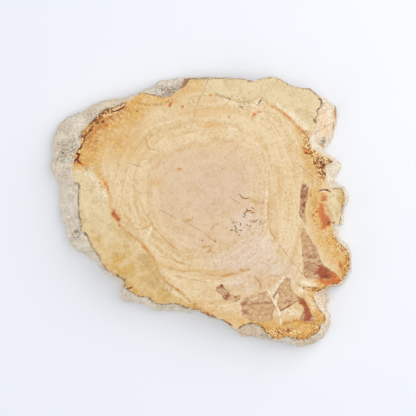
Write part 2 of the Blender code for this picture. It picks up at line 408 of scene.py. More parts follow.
lower_left = inside(SAP_LOWER_LEFT)
sap = np.maximum(lower_left, inside_any([SAP_TOP, SAP_LOBE]))
keep("sap", sap)
keep("low_sap", np.clip((Y - LOW_FROM_PX) / LOW_SPAN_PX, 0, 1) * (lower_left > -LOW_MARGIN_PX))
keep("sap_stain", strongest(strokes=[
    (SAP_LINE[4:9], 6, 0.15),
    (SAP_LINE[9:16], 7, 0.55),
    (SAP_LINE[16:], 6, 0.6),
    (SAP_TOP_LINE[10:17], 5, 0.4),
]))
print("%.0f%% of the face's vertices are sapwood" % (100 * np.mean(sap[on_face] > 0)))

# %% [markdown]
# Angular patches of brown, where the wood broke up before it turned to stone. Each is a closed outline.
# Their tone runs from mauve to khaki.

# %% Brown patches
STRIP = [
    (302.4, 184), (305, 183.2), (308.8, 187.6), (307.8, 193), (307.4, 199), (305.8, 203), (305.2, 209.5),
    (304.4, 212), (306.2, 219.6), (306.6, 226.4), (304.4, 224), (303, 219.8), (300.4, 217.4), (299, 213.4),
    (300, 207), (300.2, 201), (300.4, 191),
]
TRIANGLE = [
    (302.2, 229), (303.6, 226.8), (305.6, 229.6), (307.6, 233.4), (311.4, 240.4), (314.6, 245), (317.4, 249),
    (319.2, 254.6), (321, 260.6), (323.4, 265), (327.4, 267.6), (331.4, 271), (336, 273.2), (338.6, 276),
    (334, 279.4), (329, 280.6), (322, 279.8), (316, 278.6), (307, 279.4), (304.4, 276.6), (303, 271),
    (303.6, 265), (302.8, 260), (301.8, 254), (302, 247), (300.8, 240), (300.8, 233),
]
DUMBBELL = [
    (216, 287), (219, 285.4), (221.8, 283.8), (224, 286.4), (225.4, 289), (228, 290.6), (229.6, 293),
    (231.4, 295), (234, 295.6), (236.6, 295.8), (240.6, 294.2), (240.2, 299.4), (236.6, 302),
    (232.6, 301.8), (231, 299.4), (229.2, 298), (228.6, 300), (225, 300.2), (222.6, 299.4), (222.4, 296),
    (220.4, 293.4), (217.6, 292.4), (216, 290),
]
LEFT_BLOCK = [
    (240.2, 301.6), (243, 301.2), (244.6, 298.4), (249, 296.2), (253, 294.8), (256.8, 295.8), (260, 292.8),
    (263.4, 291.8), (266.8, 290.6), (268.8, 294), (271.2, 298), (273.2, 303), (276, 308.2), (273.6, 310),
    (272.6, 315), (273.4, 320.6), (268, 322.2), (262, 323), (255, 321.4), (250, 320.4), (246, 318.4),
    (241.8, 315.8), (241.2, 311), (242.6, 308), (240.4, 305),
]
RIGHT_BLOCK = [
    (286.4, 276.6), (281, 283), (277.8, 288), (274.8, 292), (272.2, 297), (274, 299), (277.6, 293),
    (279.2, 292.4), (277.6, 299), (276.8, 304), (279, 308), (280.6, 312), (285, 309.2), (290, 306),
    (295, 303), (298, 301), (300, 298), (297, 295), (293, 292), (291, 289), (290.6, 284), (291.4, 278.6),
    (289, 277.8),
]
RED_BAND = [
    (296.8, 295.6), (300, 297), (304.2, 298.8), (306.4, 303), (308.6, 307), (310.6, 311), (312.6, 315.6),
    (317, 318), (313, 321), (306, 322), (301, 320.6), (299.8, 318), (302.8, 313), (303.8, 309), (302, 305),
    (299, 304), (297.6, 300),
]
PATCHES = [STRIP, TRIANGLE, DUMBBELL, LEFT_BLOCK, RIGHT_BLOCK, RED_BAND]

keep("patch", inside_any(PATCHES))
keep("mauve", spots(
    (304, 192, 7, 12, 1), (303, 206, 6, 9, 0.9), (312, 262, 14, 22, 0.5), (325, 272, 9, 8, 1.3),
    (307, 317, 6, 5, 1.3), (226.4, 297, 5, 4, 1.1), (221.6, 285.4, 3.4, 2.4, 1.0), (229, 294, 2.4, 3, 0.8),
    (222, 291, 8, 8, 0.5), (236, 298.4, 5, 2.6, 0.55), (243, 303, 4, 4, 0.9), (246, 312, 5, 3, 0.8, 30),
    (256, 304, 8, 2.4, 0.7), (268, 303, 5, 2, 0.8), (306, 309, 7, 13, 0.9), (291, 301, 9, 5, 0.45, -28),
    (262, 296, 5, 3, 0.5),
))
keep("patch_red", strongest([
    (323, 273, 10, 7, 1.0, 35), (332, 275, 8, 4, 0.9), (307.6, 316.4, 4, 5, 0.9),
    (303, 302, 5, 8, 1.0, -35), (307.6, 311, 5, 7, 0.9, -10), (304, 205, 3, 5, 0.6), (226, 298, 3, 3, 0.6),
    (222, 285, 2.4, 2, 0.5), (306, 195, 2, 5, 0.4), (307, 316, 5, 4, 0.6),
], [
    ([(280.6, 311), (289.8, 306), (299.6, 300.4)], 1.5, 0.9),
]))
print(len(PATCHES), "brown patches")

# %% [markdown]
# Iron coloured the stone while it was still wet: gold and amber near the rim, orange and brick red where it
# gathered, and almost black brown along the old bark line. These stains have no edges, so soft spots and
# strokes hold them.

# %% Iron stains
BARK_LINE = [
    (74, 166), (77, 156), (80, 148), (85, 139), (91, 127), (98, 119), (106, 114), (116, 109), (126, 105),
]
LOBE_RIM = [
    (335, 236), (340, 241), (346, 248), (349.4, 255), (350, 263), (347.6, 272), (343, 280), (336, 284),
    (326, 287), (318, 290.6),
]
FOOT_RIM = [
    (316, 302), (320, 309), (325, 316), (324.6, 322), (320, 328), (315, 334), (308, 339), (300, 339.6),
    (291, 337), (281, 338), (272, 338), (266, 333),
]

gold = strongest([
    (118, 142, 30, 26, 0.55), (208, 101, 10, 5, 0.3), (200, 112, 42, 8, 0.35), (213, 126, 16, 5, 0.45),
    (300, 323, 17, 6, 1, -12), (306, 140, 8, 14, 0.4), (300, 132, 8, 5, 0.5, 40), (212, 148, 30, 4, 0.3),
    (158, 156, 24, 5, 0.3), (156, 182, 10, 6, 0.45),
], [
    (BARK_LINE, 24, 0.95),
    ([(128, 100), (150, 97), (166, 98), (186, 88), (196, 82)], 10, 0.5),
    ([(308, 150), (316, 170), (316, 190), (315, 215), (323, 236), (336, 256)], 11, 0.62),
    ([(194, 304), (220, 313), (240, 321), (262, 325)], 7, 0.5),
    ([(158, 264), (176, 269), (196, 270), (216, 274), (232, 274)], 4, 0.35),
    ([(184, 290), (210, 300), (232, 306)], 8, 0.2),
    ([(90, 158), (94, 167), (98, 176), (104, 183)], 5, 0.75),
    (LOBE_RIM, 10, 0.9),
    (FOOT_RIM, 16, 1.0),
])
keep("gold", gold * (1 - spots((222, 306, 20, 9, 0.42, 14), (313, 182, 7, 8, 0.5))))
keep("amber", strongest([
    (335, 282, 14, 4, 0.9, -12), (281, 332, 17, 6, 0.9), (315, 322, 7, 9, 0.7), (92, 142, 11, 10, 0.78),
    (176, 103.4, 9, 4.6, 0.5), (190, 98, 11, 3, 0.35), (131, 121, 4, 12, 0.4),
], [
    ([(86, 138), (92, 131), (99, 126), (106, 121), (114, 114), (122, 108.6)], 7.5, 1.0),
    ([(312, 196), (314, 204), (313, 214), (317, 228)], 4, 0.5),
    (LOBE_RIM, 4, 0.9),
    (FOOT_RIM[4:], 5, 0.85),
    ([(184, 301), (196, 306), (206, 312), (215, 317), (232, 325)], 2.2, 0.75),
    ([(284, 324), (296, 321), (310, 322)], 2.6, 0.9),
    ([(312, 155), (321, 163), (322, 174)], 6, 0.7),
]))
keep("red", strongest([
    (323.8, 197.4, 3.8, 5.6, 0.95), (317, 212, 4, 9, 0.45), (317, 167, 3, 1.4, 0.7, 40),
    (346.6, 259, 2, 3, 0.8), (337.4, 253.6, 2, 1.6, 0.6), (336, 282, 8, 3, 0.8, -8),
    (106.4, 125, 2.6, 2.6, 0.9), (112, 123, 5, 2, 0.5), (97, 128, 7, 3, 0.35, -35),
    (179, 169.4, 4.4, 2.4, 0.68, 12), (254, 115.6, 2.4, 4, 0.7, 35), (258, 111.6, 2.6, 2, 0.7),
    (229, 116.4, 1.6, 2, 0.9), (258, 104.6, 1, 1, 0.6), (210.4, 95.2, 2.4, 1.5, 0.95),
    (148, 119, 2, 4, 0.4), (182.4, 106.4, 1.6, 2, 0.9), (170.3, 104.6, 1.3, 3.4, 1.3, 22),
    (119, 225.6, 1.5, 3, 0.9, -42), (303.4, 173, 4, 1.8, 0.5), (307, 176.6, 2.4, 2, 0.5),
    (77.4, 161.4, 4.6, 3.4, 0.9), (83, 165, 3, 1.6, 0.8), (305.6, 152.6, 3.4, 3.4, 0.9),
    (106.6, 264.6, 2.2, 1.6, 0.8), (128.6, 288, 3, 1.2, 0.9, -20), (177.8, 289.8, 2, 1.4, 1.2),
    (164.8, 276.8, 1.3, 2.2, 0.65), (172, 285.8, 2.6, 1.8, 0.6, 30), (316, 173.4, 2, 1.8, 0.7),
    (298, 320, 5, 1.8, 0.6, -10),
], [
    ([(143, 135), (146, 140), (147.6, 146), (149, 149), (154, 149.4)], 1.5, 0.4),
    ([(100, 183.6), (102, 187)], 1.2, 0.4),
    ([(105.4, 184), (107.6, 187), (108.4, 191)], 1.8, 0.6),
    ([(284, 113), (288, 116.6), (291, 118.6)], 1.8, 0.5),
    ([(212, 316.4), (218, 318.6), (224, 321.2), (230, 324.2), (232, 327)], 1.7, 0.9),
    ([(188, 304.6), (196, 308), (204, 313), (212, 318)], 1.5, 0.6),
]))
print("gold covers %.0f%% of the face" % (100 * np.mean(gold[on_face] > 0.3)))

# %% [markdown]
# The strongest red stains do have edges, ragged ones. They are outlines like the patches, and a second set
# of soft spots says where they turn from brick red to dark brown.

# %% Red blots
LEFT_BLOT = [
    (112.2, 210), (115, 208.4), (115.8, 212.4), (118.8, 215), (120.6, 218.6), (119.8, 221.6), (117.2, 222),
    (114, 218.2), (110.8, 215.8), (110.9, 212.4),
]
RIGHT_BLOT = [
    (320.2, 204), (323.8, 203.6), (325, 208), (325.4, 212), (327.4, 215.6), (331.6, 221.2), (331, 225.8),
    (327.6, 227), (323.8, 229.6), (320.2, 230.4), (320.6, 226), (321.6, 222.6), (320.4, 218.4),
    (318.6, 215), (316.2, 211.4), (318.4, 208.6),
]
CORE_BLOT = [
    (329, 270), (332.4, 272), (335.4, 275), (340, 278.6), (343.4, 282), (338, 284.8), (331, 285.4),
    (325, 284.6), (320, 282.4), (315.6, 280.6), (320, 279), (326, 280), (331, 279), (332, 275.6),
]
LOBE_BLOT = [(338.6, 260.2), (341.8, 261.8), (343.2, 267), (341.8, 272.4), (339.4, 269), (338, 264)]
BLOTS = [LEFT_BLOT, RIGHT_BLOT, CORE_BLOT, LOBE_BLOT]

keep("blot", inside_any(BLOTS))
keep("blot_dark", spots(
    (115.6, 215.4, 4, 8, 0.5, -35), (113.4, 213, 1.2, 3.4, 1.0, -20), (117.6, 219, 1.3, 3.4, 1.0, -45),
    (328.6, 223, 2.6, 3, 1.15), (326, 221, 5, 5, 0.45), (326, 276, 5.4, 3.6, 1.1),
    (325, 270, 6, 4, 0.62, 40), (327.4, 268.6, 1.6, 2.2, 0.7), (341, 266, 1.4, 4, 0.4),
))
print(len(BLOTS), "red blots")

# %% [markdown]
# Three more fields are for the gold: a band of gold grain at the right of the heart, the corner at the
# left where gold ran into the sapwood, and the places near the rim where fine rays cross the rings.

# %% Gold band, corner and rays
GOLD_BAND = [
    (269.4, 188), (273, 190), (276.6, 198), (278.4, 212), (277.6, 226), (280, 244), (275.4, 241),
    (270.4, 233), (268.4, 222), (267.8, 205),
]
keep("band", inside(GOLD_BAND))
keep("corner", strongest([
    (83, 166.4, 14, 6.5, 0.95, -10), (95, 172, 5, 7, 0.6, -30),
], [
    ([(94, 160), (94.6, 167), (97.4, 174), (101, 180), (104, 183.6)], 2.4, 0.9),
    ([(109.8, 194), (110.4, 201), (110.6, 207)], 2.6, 0.8),
]))
keep("rays", spots(
    (117, 115, 14, 7, 0.8, -28), (98, 138, 12, 16, 0.2), (124, 136, 18, 14, 0.3), (212, 100, 26, 6, 0.3),
))
print("gold band outlined by", len(GOLD_BAND), "points")

# %% [markdown]
# Where the old bark line broke down, the rim is druse: a crust of grains, some as dark as rust and some
# pale. Blackish blotches sit among them, and bleached zones lie beside the sapwood and round the lobes.
# Soft spots and strokes say where, and the shader breaks them up into grains.

# %% Dark blotches, druse and pale zones
keep("dark", strongest([
    (96.6, 119, 3.2, 1.8, 1.0, -45), (92, 123.4, 2.2, 2, 0.9), (103, 112.6, 2.6, 1.5, 0.9, -30),
    (110.6, 113.4, 2.4, 1.4, 0.8), (323.5, 164.7, 2.4, 1.8, 1.1), (321.2, 167.8, 2, 1.6, 1.0),
    (331.4, 161.4, 1.9, 1.5, 1.0), (327.6, 163.6, 2.6, 1, 0.8, -30), (324.6, 169.6, 1.2, 1.6, 0.8),
    (324.6, 173.4, 1.7, 2.2, 1.0), (316, 173.2, 1, 1, 0.7), (320.6, 161.6, 1.6, 1.8, 0.9),
    (321.4, 101.8, 1.4, 2.2, 0.9), (306, 153.2, 1.6, 2.4, 1.0), (310.3, 141.8, 0.9, 2, 0.8),
    (310.5, 146.6, 1, 1.8, 0.8), (315.4, 161, 1.8, 2.6, 1.0), (260.6, 100.6, 1.6, 1.6, 0.9),
    (137, 111.8, 1.1, 1.1, 1.3), (324, 288.9, 1.7, 1.6, 1.2), (293.6, 338, 2.4, 3, 0.8),
    (297, 284, 0.9, 0.8, 0.9), (299.4, 285.6, 1.2, 0.9, 0.9, 40), (303.6, 288.2, 1.3, 1.1, 1.1),
    (310, 287.8, 1.2, 0.8, 1.0), (313.8, 287.6, 1.1, 0.8, 1.0), (317, 288.3, 1.1, 0.8, 0.9),
    (307.6, 289.8, 1.1, 0.8, 0.9), (312.9, 290.6, 1.2, 0.8, 1.0), (318, 291, 1.4, 0.8, 1.0),
    (222, 285, 2, 1.4, 0.8), (227.4, 299, 2, 1.6, 0.6), (246, 312, 2, 1.4, 0.45), (243, 303, 3, 2, 0.4),
    (310, 337, 4, 3, 0.6), (96, 197.6, 1.4, 1.6, 0.6), (332, 238, 2.6, 1.8, 0.8), (334, 223, 1.8, 2.6, 0.7),
    (273, 337, 4, 2, 0.6),
], [
    ([(91.4, 123), (93.4, 120.4), (98.4, 115)], 1.5, 0.8),
    ([(77.4, 153.4), (79, 156), (77.4, 158.8), (74.4, 161.4)], 1.8, 0.95),
    ([(84.7, 137), (84.2, 141), (82.4, 145), (80, 149)], 1.3, 0.75),
    ([(88, 132.8), (91.2, 129)], 1.3, 0.7),
    ([(96, 123.4), (101, 122.8), (104, 120.8)], 1.5, 0.9),
    ([(320, 190.6), (325, 190), (329.6, 191.4)], 1.6, 0.6),
    (LOBE_RIM, 1.8, 0.5),
    (FOOT_RIM, 2.0, 0.5),
]))
keep("clump", strongest([
    (324, 165, 6, 6, 1.0), (331, 161.4, 3.4, 2.6, 1.0), (324.6, 173, 2.4, 4, 1.0), (316, 163, 3, 3, 0.7),
    (306, 153, 2.4, 3, 0.9), (310.4, 144, 1.8, 5, 0.9), (320, 160, 4, 2.6, 0.9), (316, 173.4, 2, 2, 0.8),
    (329, 166, 4, 2, 0.6),
], [
    ([(88, 127), (94, 121.6), (101, 114), (108, 110)], 2.2, 0.8),
]))
keep("druse", strongest([
    (87, 168.6, 11, 5.5, 0.58), (317, 184, 7, 8, 0.45), (206, 314, 5, 3, 0.8), (214, 311, 4, 2, 0.6),
    (315, 205, 4, 20, 0.4), (196, 306, 7, 3, 0.6, 30),
], [
    ([(304, 134), (309, 142), (312, 150)], 5, 0.8),
    ([(312, 192), (312, 200), (313, 210), (316, 224)], 4.2, 0.52),
    ([(320, 159), (327, 160), (332, 161.4)], 3.4, 0.95),
    ([(96, 120), (104, 114), (112, 112), (120, 107)], 4.0, 1.0),
    ([(76, 158), (80, 152), (82, 142), (86, 132)], 3.0, 0.75),
    ([(270, 334), (280, 333)], 4.5, 1.0),
    ([(289, 330), (297, 333)], 4.5, 1.0),
    ([(314, 322), (318, 328), (312, 334)], 3.5, 0.6),
    ([(309, 147), (315, 156), (320, 165), (323, 175)], 7, 0.95),
    ([(338, 246), (347, 256), (347, 268), (340, 280)], 4.5, 0.7),
    ([(305, 287), (312, 289.4), (320, 290)], 2.4, 0.7),
]))
keep("pale", strongest([
    (214, 311.4, 2.4, 1.2, 0.9), (314, 182, 6, 7, 0.42), (292, 311, 9, 5.5, 0.95, -26),
    (84, 166, 5, 3, 0.6), (149.4, 231.6, 1.6, 3, 0.9, 20), (126, 104.4, 5, 1.2, 0.8, -20),
    (314, 184, 7, 5, 0.5), (245, 110, 8, 3, 0.45), (240, 130, 24, 8, 0.35), (212, 88, 5, 5, 0.35),
    (312, 116, 4, 7, 0.35), (292, 331, 3, 4, 0.6), (258, 300, 8, 1.4, 0.6), (246, 240, 12, 10, 0.3),
    (242, 283, 12, 4, 0.45), (270, 283, 8, 5, 0.4), (314, 162, 3, 4, 0.5),
], [
    ([(277, 105), (286, 111), (294, 117), (300, 123), (305, 127)], 4, 1.0),
    ([(78, 172), (90, 174), (97, 181), (103, 190), (105, 202)], 4.4, 0.75),
    ([(122, 241), (134, 244)], 3, 0.5),
    ([(163, 281), (171, 290), (182, 296), (190, 303)], 3, 0.9),
    ([(268.4, 291), (271, 297), (275.4, 304), (279, 312), (281, 324)], 1.2, 0.75),
    ([(283, 277), (279, 284), (273.6, 292), (270.6, 296)], 2.6, 0.8),
    ([(277.6, 296), (276, 303)], 1.1, 0.8),
    ([(303, 281), (308, 284.2), (315, 285)], 2.6, 1.0),
    ([(208, 305.6), (220, 308.6), (234, 311)], 5, 0.42),
    ([(305, 292), (314, 294)], 2.4, 0.5),
    ([(300, 290), (306, 295), (311, 302), (315, 309)], 3.4, 0.85),
    ([(267, 160), (266.8, 200), (266, 228)], 1.2, 0.6),
    ([(218, 96), (226, 100), (236, 103.6), (246, 105), (256, 104.6), (262, 100)], 2.6, 0.8),
    ([(252, 299.6), (262, 299), (268, 301)], 1.4, 0.7),
]))
print("dark, clump, druse and pale kept")

# %% [markdown]
# Broad tones are the quietest fields: the outline of the heart, where it is rosy and where it is cool,
# where the sapwood is olive or ochre, and where the tiny specks lie.

# %% Tones of the heart and the sapwood
HEART = [
    (150, 190), (150, 172), (160, 154), (180, 148), (205, 146), (236, 146), (256, 150), (266, 160),
    (268, 185), (267.6, 212), (266, 228), (276, 242), (290, 258), (301, 272), (292, 282), (281, 287),
    (271, 296), (255, 298), (239, 295), (224, 282), (200, 264), (180, 247), (162, 226),
]
keep("heart", inside(HEART))
keep("rosy", spots(
    (215, 190, 34, 34, 0.9), (240, 180, 20, 22, 0.7), (180, 190, 20, 26, 0.45), (240, 215, 22, 14, 0.4),
))
keep("cool", spots(
    (256, 252, 24, 24, 1.1), (282, 270, 15, 12, 1.1), (230, 260, 24, 14, 0.8), (246, 284, 22, 9, 1.0),
    (247, 222, 18, 15, 1.0),
))
keep("olive", spots(
    (141, 258, 8, 9, 0.75), (156, 284, 13, 7, 0.9, 20), (146, 270, 10, 8, 0.5), (115, 254, 4, 4, 0.8),
    (330, 206, 3, 14, 0.2), (84, 218, 4, 9, 0.7), (90, 188, 6, 5, 0.35), (337.8, 198, 1.6, 7, 1.0),
    (337, 213, 1.4, 4, 0.9), (310, 95, 8, 5, 0.2), (285, 98, 14, 6, 0.2),
))
keep("ochre", spots(
    (117, 262, 8, 6, 0.9, 20), (118, 270, 10, 4, 1.0, 10), (128, 268, 9, 5, 0.65),
    (136, 290, 12, 5, 0.7, 18), (116, 256, 4, 4, 0.8), (98, 240, 9, 3, 0.4, 12), (84, 219, 4, 6, 0.4),
    (152, 294, 18, 7, 0.5, 15), (342, 200, 4, 15, 0.8), (120, 258, 12, 8, 0.4),
))
keep("specks", spots(
    (241, 224, 12, 7, 0.8, -20), (247, 213, 8, 5, 0.4), (262, 222, 5, 4, 0.5), (246, 105, 12, 4, 0.9),
    (232, 99, 14, 3, 0.7),
))
print("paint fields:", len([a for a in slice_mesh.attributes if a.data_type == "FLOAT"]))

# %% [markdown]
# Cracks healed with ochre or grey silica are hair lines, and the old bark line is a crisp rust brown. Their
# distance carries a sign, which changes from one side of a line to the other, so the shader finds where it
# passes through zero however wide the triangles are. A second number, the plain distance, switches the
# line off past its ends.

# %% Healed cracks and rust lines
LINES = {
    "ochre": [
        [(180.4, 291.6), (183.6, 294), (185.6, 297.4), (189.4, 301)],
        [(184, 222), (190, 225), (202.9, 231.6), (212, 239.4), (216, 242)],
        [(270, 231), (275.5, 239.8), (285, 252), (295, 265), (302.4, 274.6)],
        [(132, 228.6), (137.5, 229.6), (143, 229), (148.8, 225.6), (152, 223)],
        [(140.6, 203), (144, 211), (150, 219), (152, 224)],
        [(153, 227), (160, 234), (168, 243), (176, 249)],
        [(160, 256), (170, 259), (180, 263), (190, 265.6)],
        [(168, 268), (182, 271), (198, 271.4), (214, 275.6)],
        [(176, 276), (190, 279), (206, 282)],
        [(222, 277), (232, 274), (241, 271.6), (248, 270.8)],
        [(260, 262.6), (264, 263), (268, 265)],
        [(270, 275.4), (279, 276)],
        [(256, 277), (260, 283), (261, 288)],
        [(184, 220.6), (189, 221), (192, 219)],
        [(209, 251.6), (212, 246)],
        [(203.6, 247.6), (208, 246)],
        [(84.5, 158.6), (92, 159)],
        [(145, 138.4), (147, 142), (147.4, 146), (149.6, 149.2), (155, 149.6)],
        [(126, 230.8), (133, 236.4), (141.4, 243.6), (148, 252), (155.6, 261)],
        [(267.8, 206), (268.8, 222), (270.6, 232)],
    ],
    "grey": [
        [(208.4, 79), (206, 85), (203.4, 91), (200, 97.6), (196, 108), (194.4, 117)],
        [(292.6, 160), (302, 167.6), (308, 173), (313, 177)],
        [(160, 210), (168, 214), (175, 218)],
        [(230.6, 197.6), (235, 200.6), (239.4, 203)],
        [(128, 163), (134, 164.6), (142, 167.4)],
        [(84, 190.6), (88, 190)],
        [(180, 262), (188, 264.6)],
    ],
    "rust": [
        [
            (73.9, 163.4), (73.8, 160.8), (76.1, 159.5), (78.6, 157.9), (79, 155.7), (77.7, 153.8),
            (76.1, 151.9), (77.6, 149.8), (80.6, 148.4), (82.7, 143.7), (84.3, 140), (84.8, 137.1),
            (80.6, 136),
        ],
        [(84.8, 136.6), (88.5, 132.6), (91.2, 129.5), (92.2, 127)],
        [(92.4, 120.8), (95.6, 117.8), (98.4, 115), (101.2, 111.8), (103.9, 110.4), (109.9, 108.8)],
        [(112.6, 111.8), (116, 111), (120.3, 109), (123.6, 107.1), (125.8, 104.1)],
        [(78, 161.4), (80.5, 163.3)],
        [(320, 190.6), (323.4, 190), (326.4, 189.6), (329.4, 191.2)],
        [(313.6, 298.4), (315.4, 301.6), (317.6, 306), (320.6, 310.6)],
        [(126.6, 289), (128.8, 288.2), (131, 287.4)],
        [(213, 316.8), (218, 318.8), (224, 321.4), (230, 324.2)],
    ],
    "brown": [
        # This first line runs along the rim at the chip: partly brown, partly painted shade of the chip's
        # edge.
        [(240.4, 327.6), (243.4, 325), (247, 323.6), (252, 323), (257, 323.4), (261, 325), (264.4, 328.4)],
        [(258.4, 103.4), (261, 99.6)],
        [(239.2, 193.8), (240.4, 195.4), (241.9, 197.1), (243.4, 198.1), (245.3, 198.5), (247.6, 198.5)],
        [(251.6, 207.2), (253.6, 208.6)],
        [(245.4, 212.2), (247.2, 210.8), (250.4, 210.4)],
        [(251, 213.2), (253.6, 212.8)],
        [(245, 215.2), (245.8, 215.5)],
        [(242.2, 216.4), (242.6, 216.7)],
        [(253.8, 221.8), (255.6, 222), (256.6, 220.4)],
        [(232.6, 222.6), (233.6, 221.8)],
        [(236.4, 222.2), (236.8, 222.4)],
        [(240.3, 224.8), (240.7, 225.2)],
        [(244.6, 227.2), (245, 227.7)],
        [(246.4, 225), (247.4, 225.4)],
        [(234.8, 226), (235.4, 226.6)],
        [(235.6, 229.6), (236.6, 228.2)],
        [(230.8, 230.3), (232, 230.4)],
        [(233.8, 230.6), (236.2, 231.4), (237, 232.4)],
        [(238.3, 230), (238.7, 230.3)],
        [(240.4, 230.6), (241.8, 230.5)],
        [(239.4, 235), (239.8, 235.4)],
        [(259.6, 223.6), (260.2, 224.2)],
        [(281.6, 310.4), (285, 308.6), (289.4, 306)],
        [(262.6, 226.6), (262.8, 227)],
        [(202, 241), (202.6, 239.8)],
        [(213.8, 240), (215.6, 242)],
    ],
    "smear": [
        [(249, 198.2), (251.4, 199.4), (252.8, 200.2), (250.8, 201.8)],
        [(255.4, 202), (259, 202.6), (263, 202.2)],
        [(326.4, 205), (327.6, 209), (329.4, 213), (332, 217)],
        [(244.6, 213.4), (247, 211.6), (250.6, 211), (253.6, 212.8)],
        [(251, 221.2), (254, 220.8), (256.8, 220.4)],
        [(262.2, 222.2), (264.6, 222.4)],
        [(203, 247.4), (206, 246.4), (208.6, 245.6)],
        [(208.8, 251.6), (210.4, 249), (212, 245.6)],
        [(211.6, 228.6), (213.4, 226), (217.6, 223.6)],
        [(137, 102), (143, 104.6), (150, 105.4), (158, 104.8), (165, 103), (171, 99.6)],
        [(163.4, 274), (164.6, 277.4)],
        [(164, 281.4), (168, 284), (172, 286)],
        [(176, 288.4), (180, 291.6), (184, 295.4)],
        [(185, 220.8), (188.6, 220.6), (192, 218.4)],
        [(240.4, 270), (245, 270.2), (249.4, 269.8)],
        [(255, 276.6), (258.6, 281), (260.6, 286)],
        [(222, 276.4), (228, 274.6), (236, 272.8)],
    ],
    "orange": [
        [(272.4, 106.6), (275.6, 107.8)],
        [(278.4, 110), (281.8, 111.8)],
        [(284.4, 113.8), (286.4, 116)],
        [(288.6, 118), (291.4, 120.4)],
        [(293.6, 123), (296, 126)],
        [(299, 128), (301.4, 130)],
        [(252.4, 117.8), (254.6, 114.4), (257, 111.8), (259.8, 112.4)],
        [(100, 183.4), (101.4, 186), (102.6, 187.4)],
        [(106, 184), (107.6, 186.2), (108.2, 189), (108.6, 191.6)],
        [(143, 246), (147, 251)],
        [(80.8, 163.4), (84.4, 164.8)],
    ],
    "olive": [
        [
            (216, 94.4), (220, 95.6), (224, 96.8), (229, 98.2), (233, 99.4), (237, 101), (241, 102.4),
            (246, 101.8),
        ],
        [(247.4, 101), (252.6, 101.4), (255, 98.6), (257.4, 96.2)],
        [(239.8, 107.2), (243.4, 107.8)],
        [(246, 107), (250.6, 107.8)],
        [(262, 98), (266, 101.4)],
        [(78, 159), (80, 161)],
    ],
    "pale": [
        [(268.4, 290.8), (271, 297), (275.4, 304), (279, 312), (281.4, 322)],
        [(284.4, 276.4), (279, 284), (273.6, 292), (270.8, 296)],
        [(277.8, 296), (275.6, 303)],
        [(147.4, 235.4), (149.6, 232), (151, 227.6)],
        [(250, 299.6), (256, 298), (262, 297.4)],
        [(114.8, 110.2), (119, 108), (122.4, 106), (125.2, 104.9)],
        [(81.8, 138.4), (82.4, 140.4)],
        [(80.4, 144.8), (79.6, 146.6)],
        # Painted glints: small white spots inside the dark streak at the right.
        [(322, 191.2), (324.8, 191.2)],
    ],
}

for colour, lines in LINES.items():
    nearest = np.full(len(X), FAR)
    signed = np.full(len(X), FAR)
    for line in lines:
        distance, side = line_distance(line)
        signed = np.where(distance < nearest, distance * side, signed)
        nearest = np.minimum(distance, nearest)
    keep(colour + "_side", signed)
    keep(colour + "_near", nearest)
print({colour: len(lines) for colour, lines in LINES.items()}, "lines")

# %% [markdown]
# The bark isn't one grey. It is pinkish white where it broke off freshly, grey where dirt stayed in its
# hollows, and layered at the left. Along the polished face a dark line edges it, partly its own brown and
# partly painted shade of the narrow gap between the face and the bark. These zones are placed like the
# stains.

# %% Bark zones
keep("bark_grey", spots(
    (68, 146, 12, 8, 1.2), (62, 158, 9, 6, 1.0), (74, 158, 5, 6, 0.9), (66, 170, 8, 5, 0.5),
    (76, 235, 5, 6, 1.2), (80, 190, 4, 8, 0.4), (167, 90, 13, 6, 1.4), (155, 84, 6, 4, 0.3),
    (323.6, 141, 2.6, 4.5, 1.3), (330, 172, 6, 7, 0.35), (333, 227, 3, 5, 1.0), (152, 303, 6, 3, 0.6),
    (190, 311, 16, 3, 0.35), (268, 337, 8, 3, 0.9), (296, 338, 8, 4, 0.9), (333, 238, 3, 3, 1.0),
))
keep("bark_pink", spots(
    (328, 116, 15, 26, 1.3), (323, 298, 12, 12, 1.2), (328, 326, 10, 22, 1.2), (308, 345, 18, 6, 1.0),
    (338, 166, 8, 8, 0.8), (104, 101, 36, 9, 1.1, -22), (62, 121, 14, 6, 0.3), (125, 299, 8, 6, 0.4),
    (346, 200, 8, 22, 1.0), (350, 258, 5, 22, 0.7),
))
keep("bark_peach", spots(
    (323, 298, 10, 13, 0.75), (329, 322, 8, 16, 0.6), (306, 344, 16, 5, 0.8), (252, 332, 16, 7, 1.2),
    (322, 122, 7, 15, 1.3), (326, 134, 7, 7, 0.7), (120, 100, 16, 5, 0.4, -22),
))
keep("bark_hole", strongest([
    (323.8, 141.4, 1.7, 3.4, 1.2), (79.6, 136, 2, 1.4, 0.8), (77, 140, 2.6, 2, 0.6), (60, 152, 4, 2, 0.5),
    (76, 232, 3, 2, 0.6),
], [
    ([(156, 85.6), (161, 88.4), (166, 89.6), (171, 90.4)], 1.2, 0.55),
    ([(164, 93.6), (170, 92.6), (173.4, 88.6)], 1.8, 0.55),
]))
keep("bark_layers", spots((66, 178, 11, 12, 0.8), (68, 210, 10, 22, 1.2)))
keep("bark_smooth", spots((327, 119, 11, 26, 1.1), (112, 100, 22, 6, 0.8, -22)))
keep("bark_brown", strongest([
    (336, 111, 1.3, 12, 0.95), (334.6, 126, 1.3, 5, 0.85), (320, 124, 3, 5, 0.25),
    (322, 145, 5, 1.6, 1.0, 35),
], [
    ([(182, 90), (185.5, 84), (187, 78.6)], 4.2, 1.0),
]))
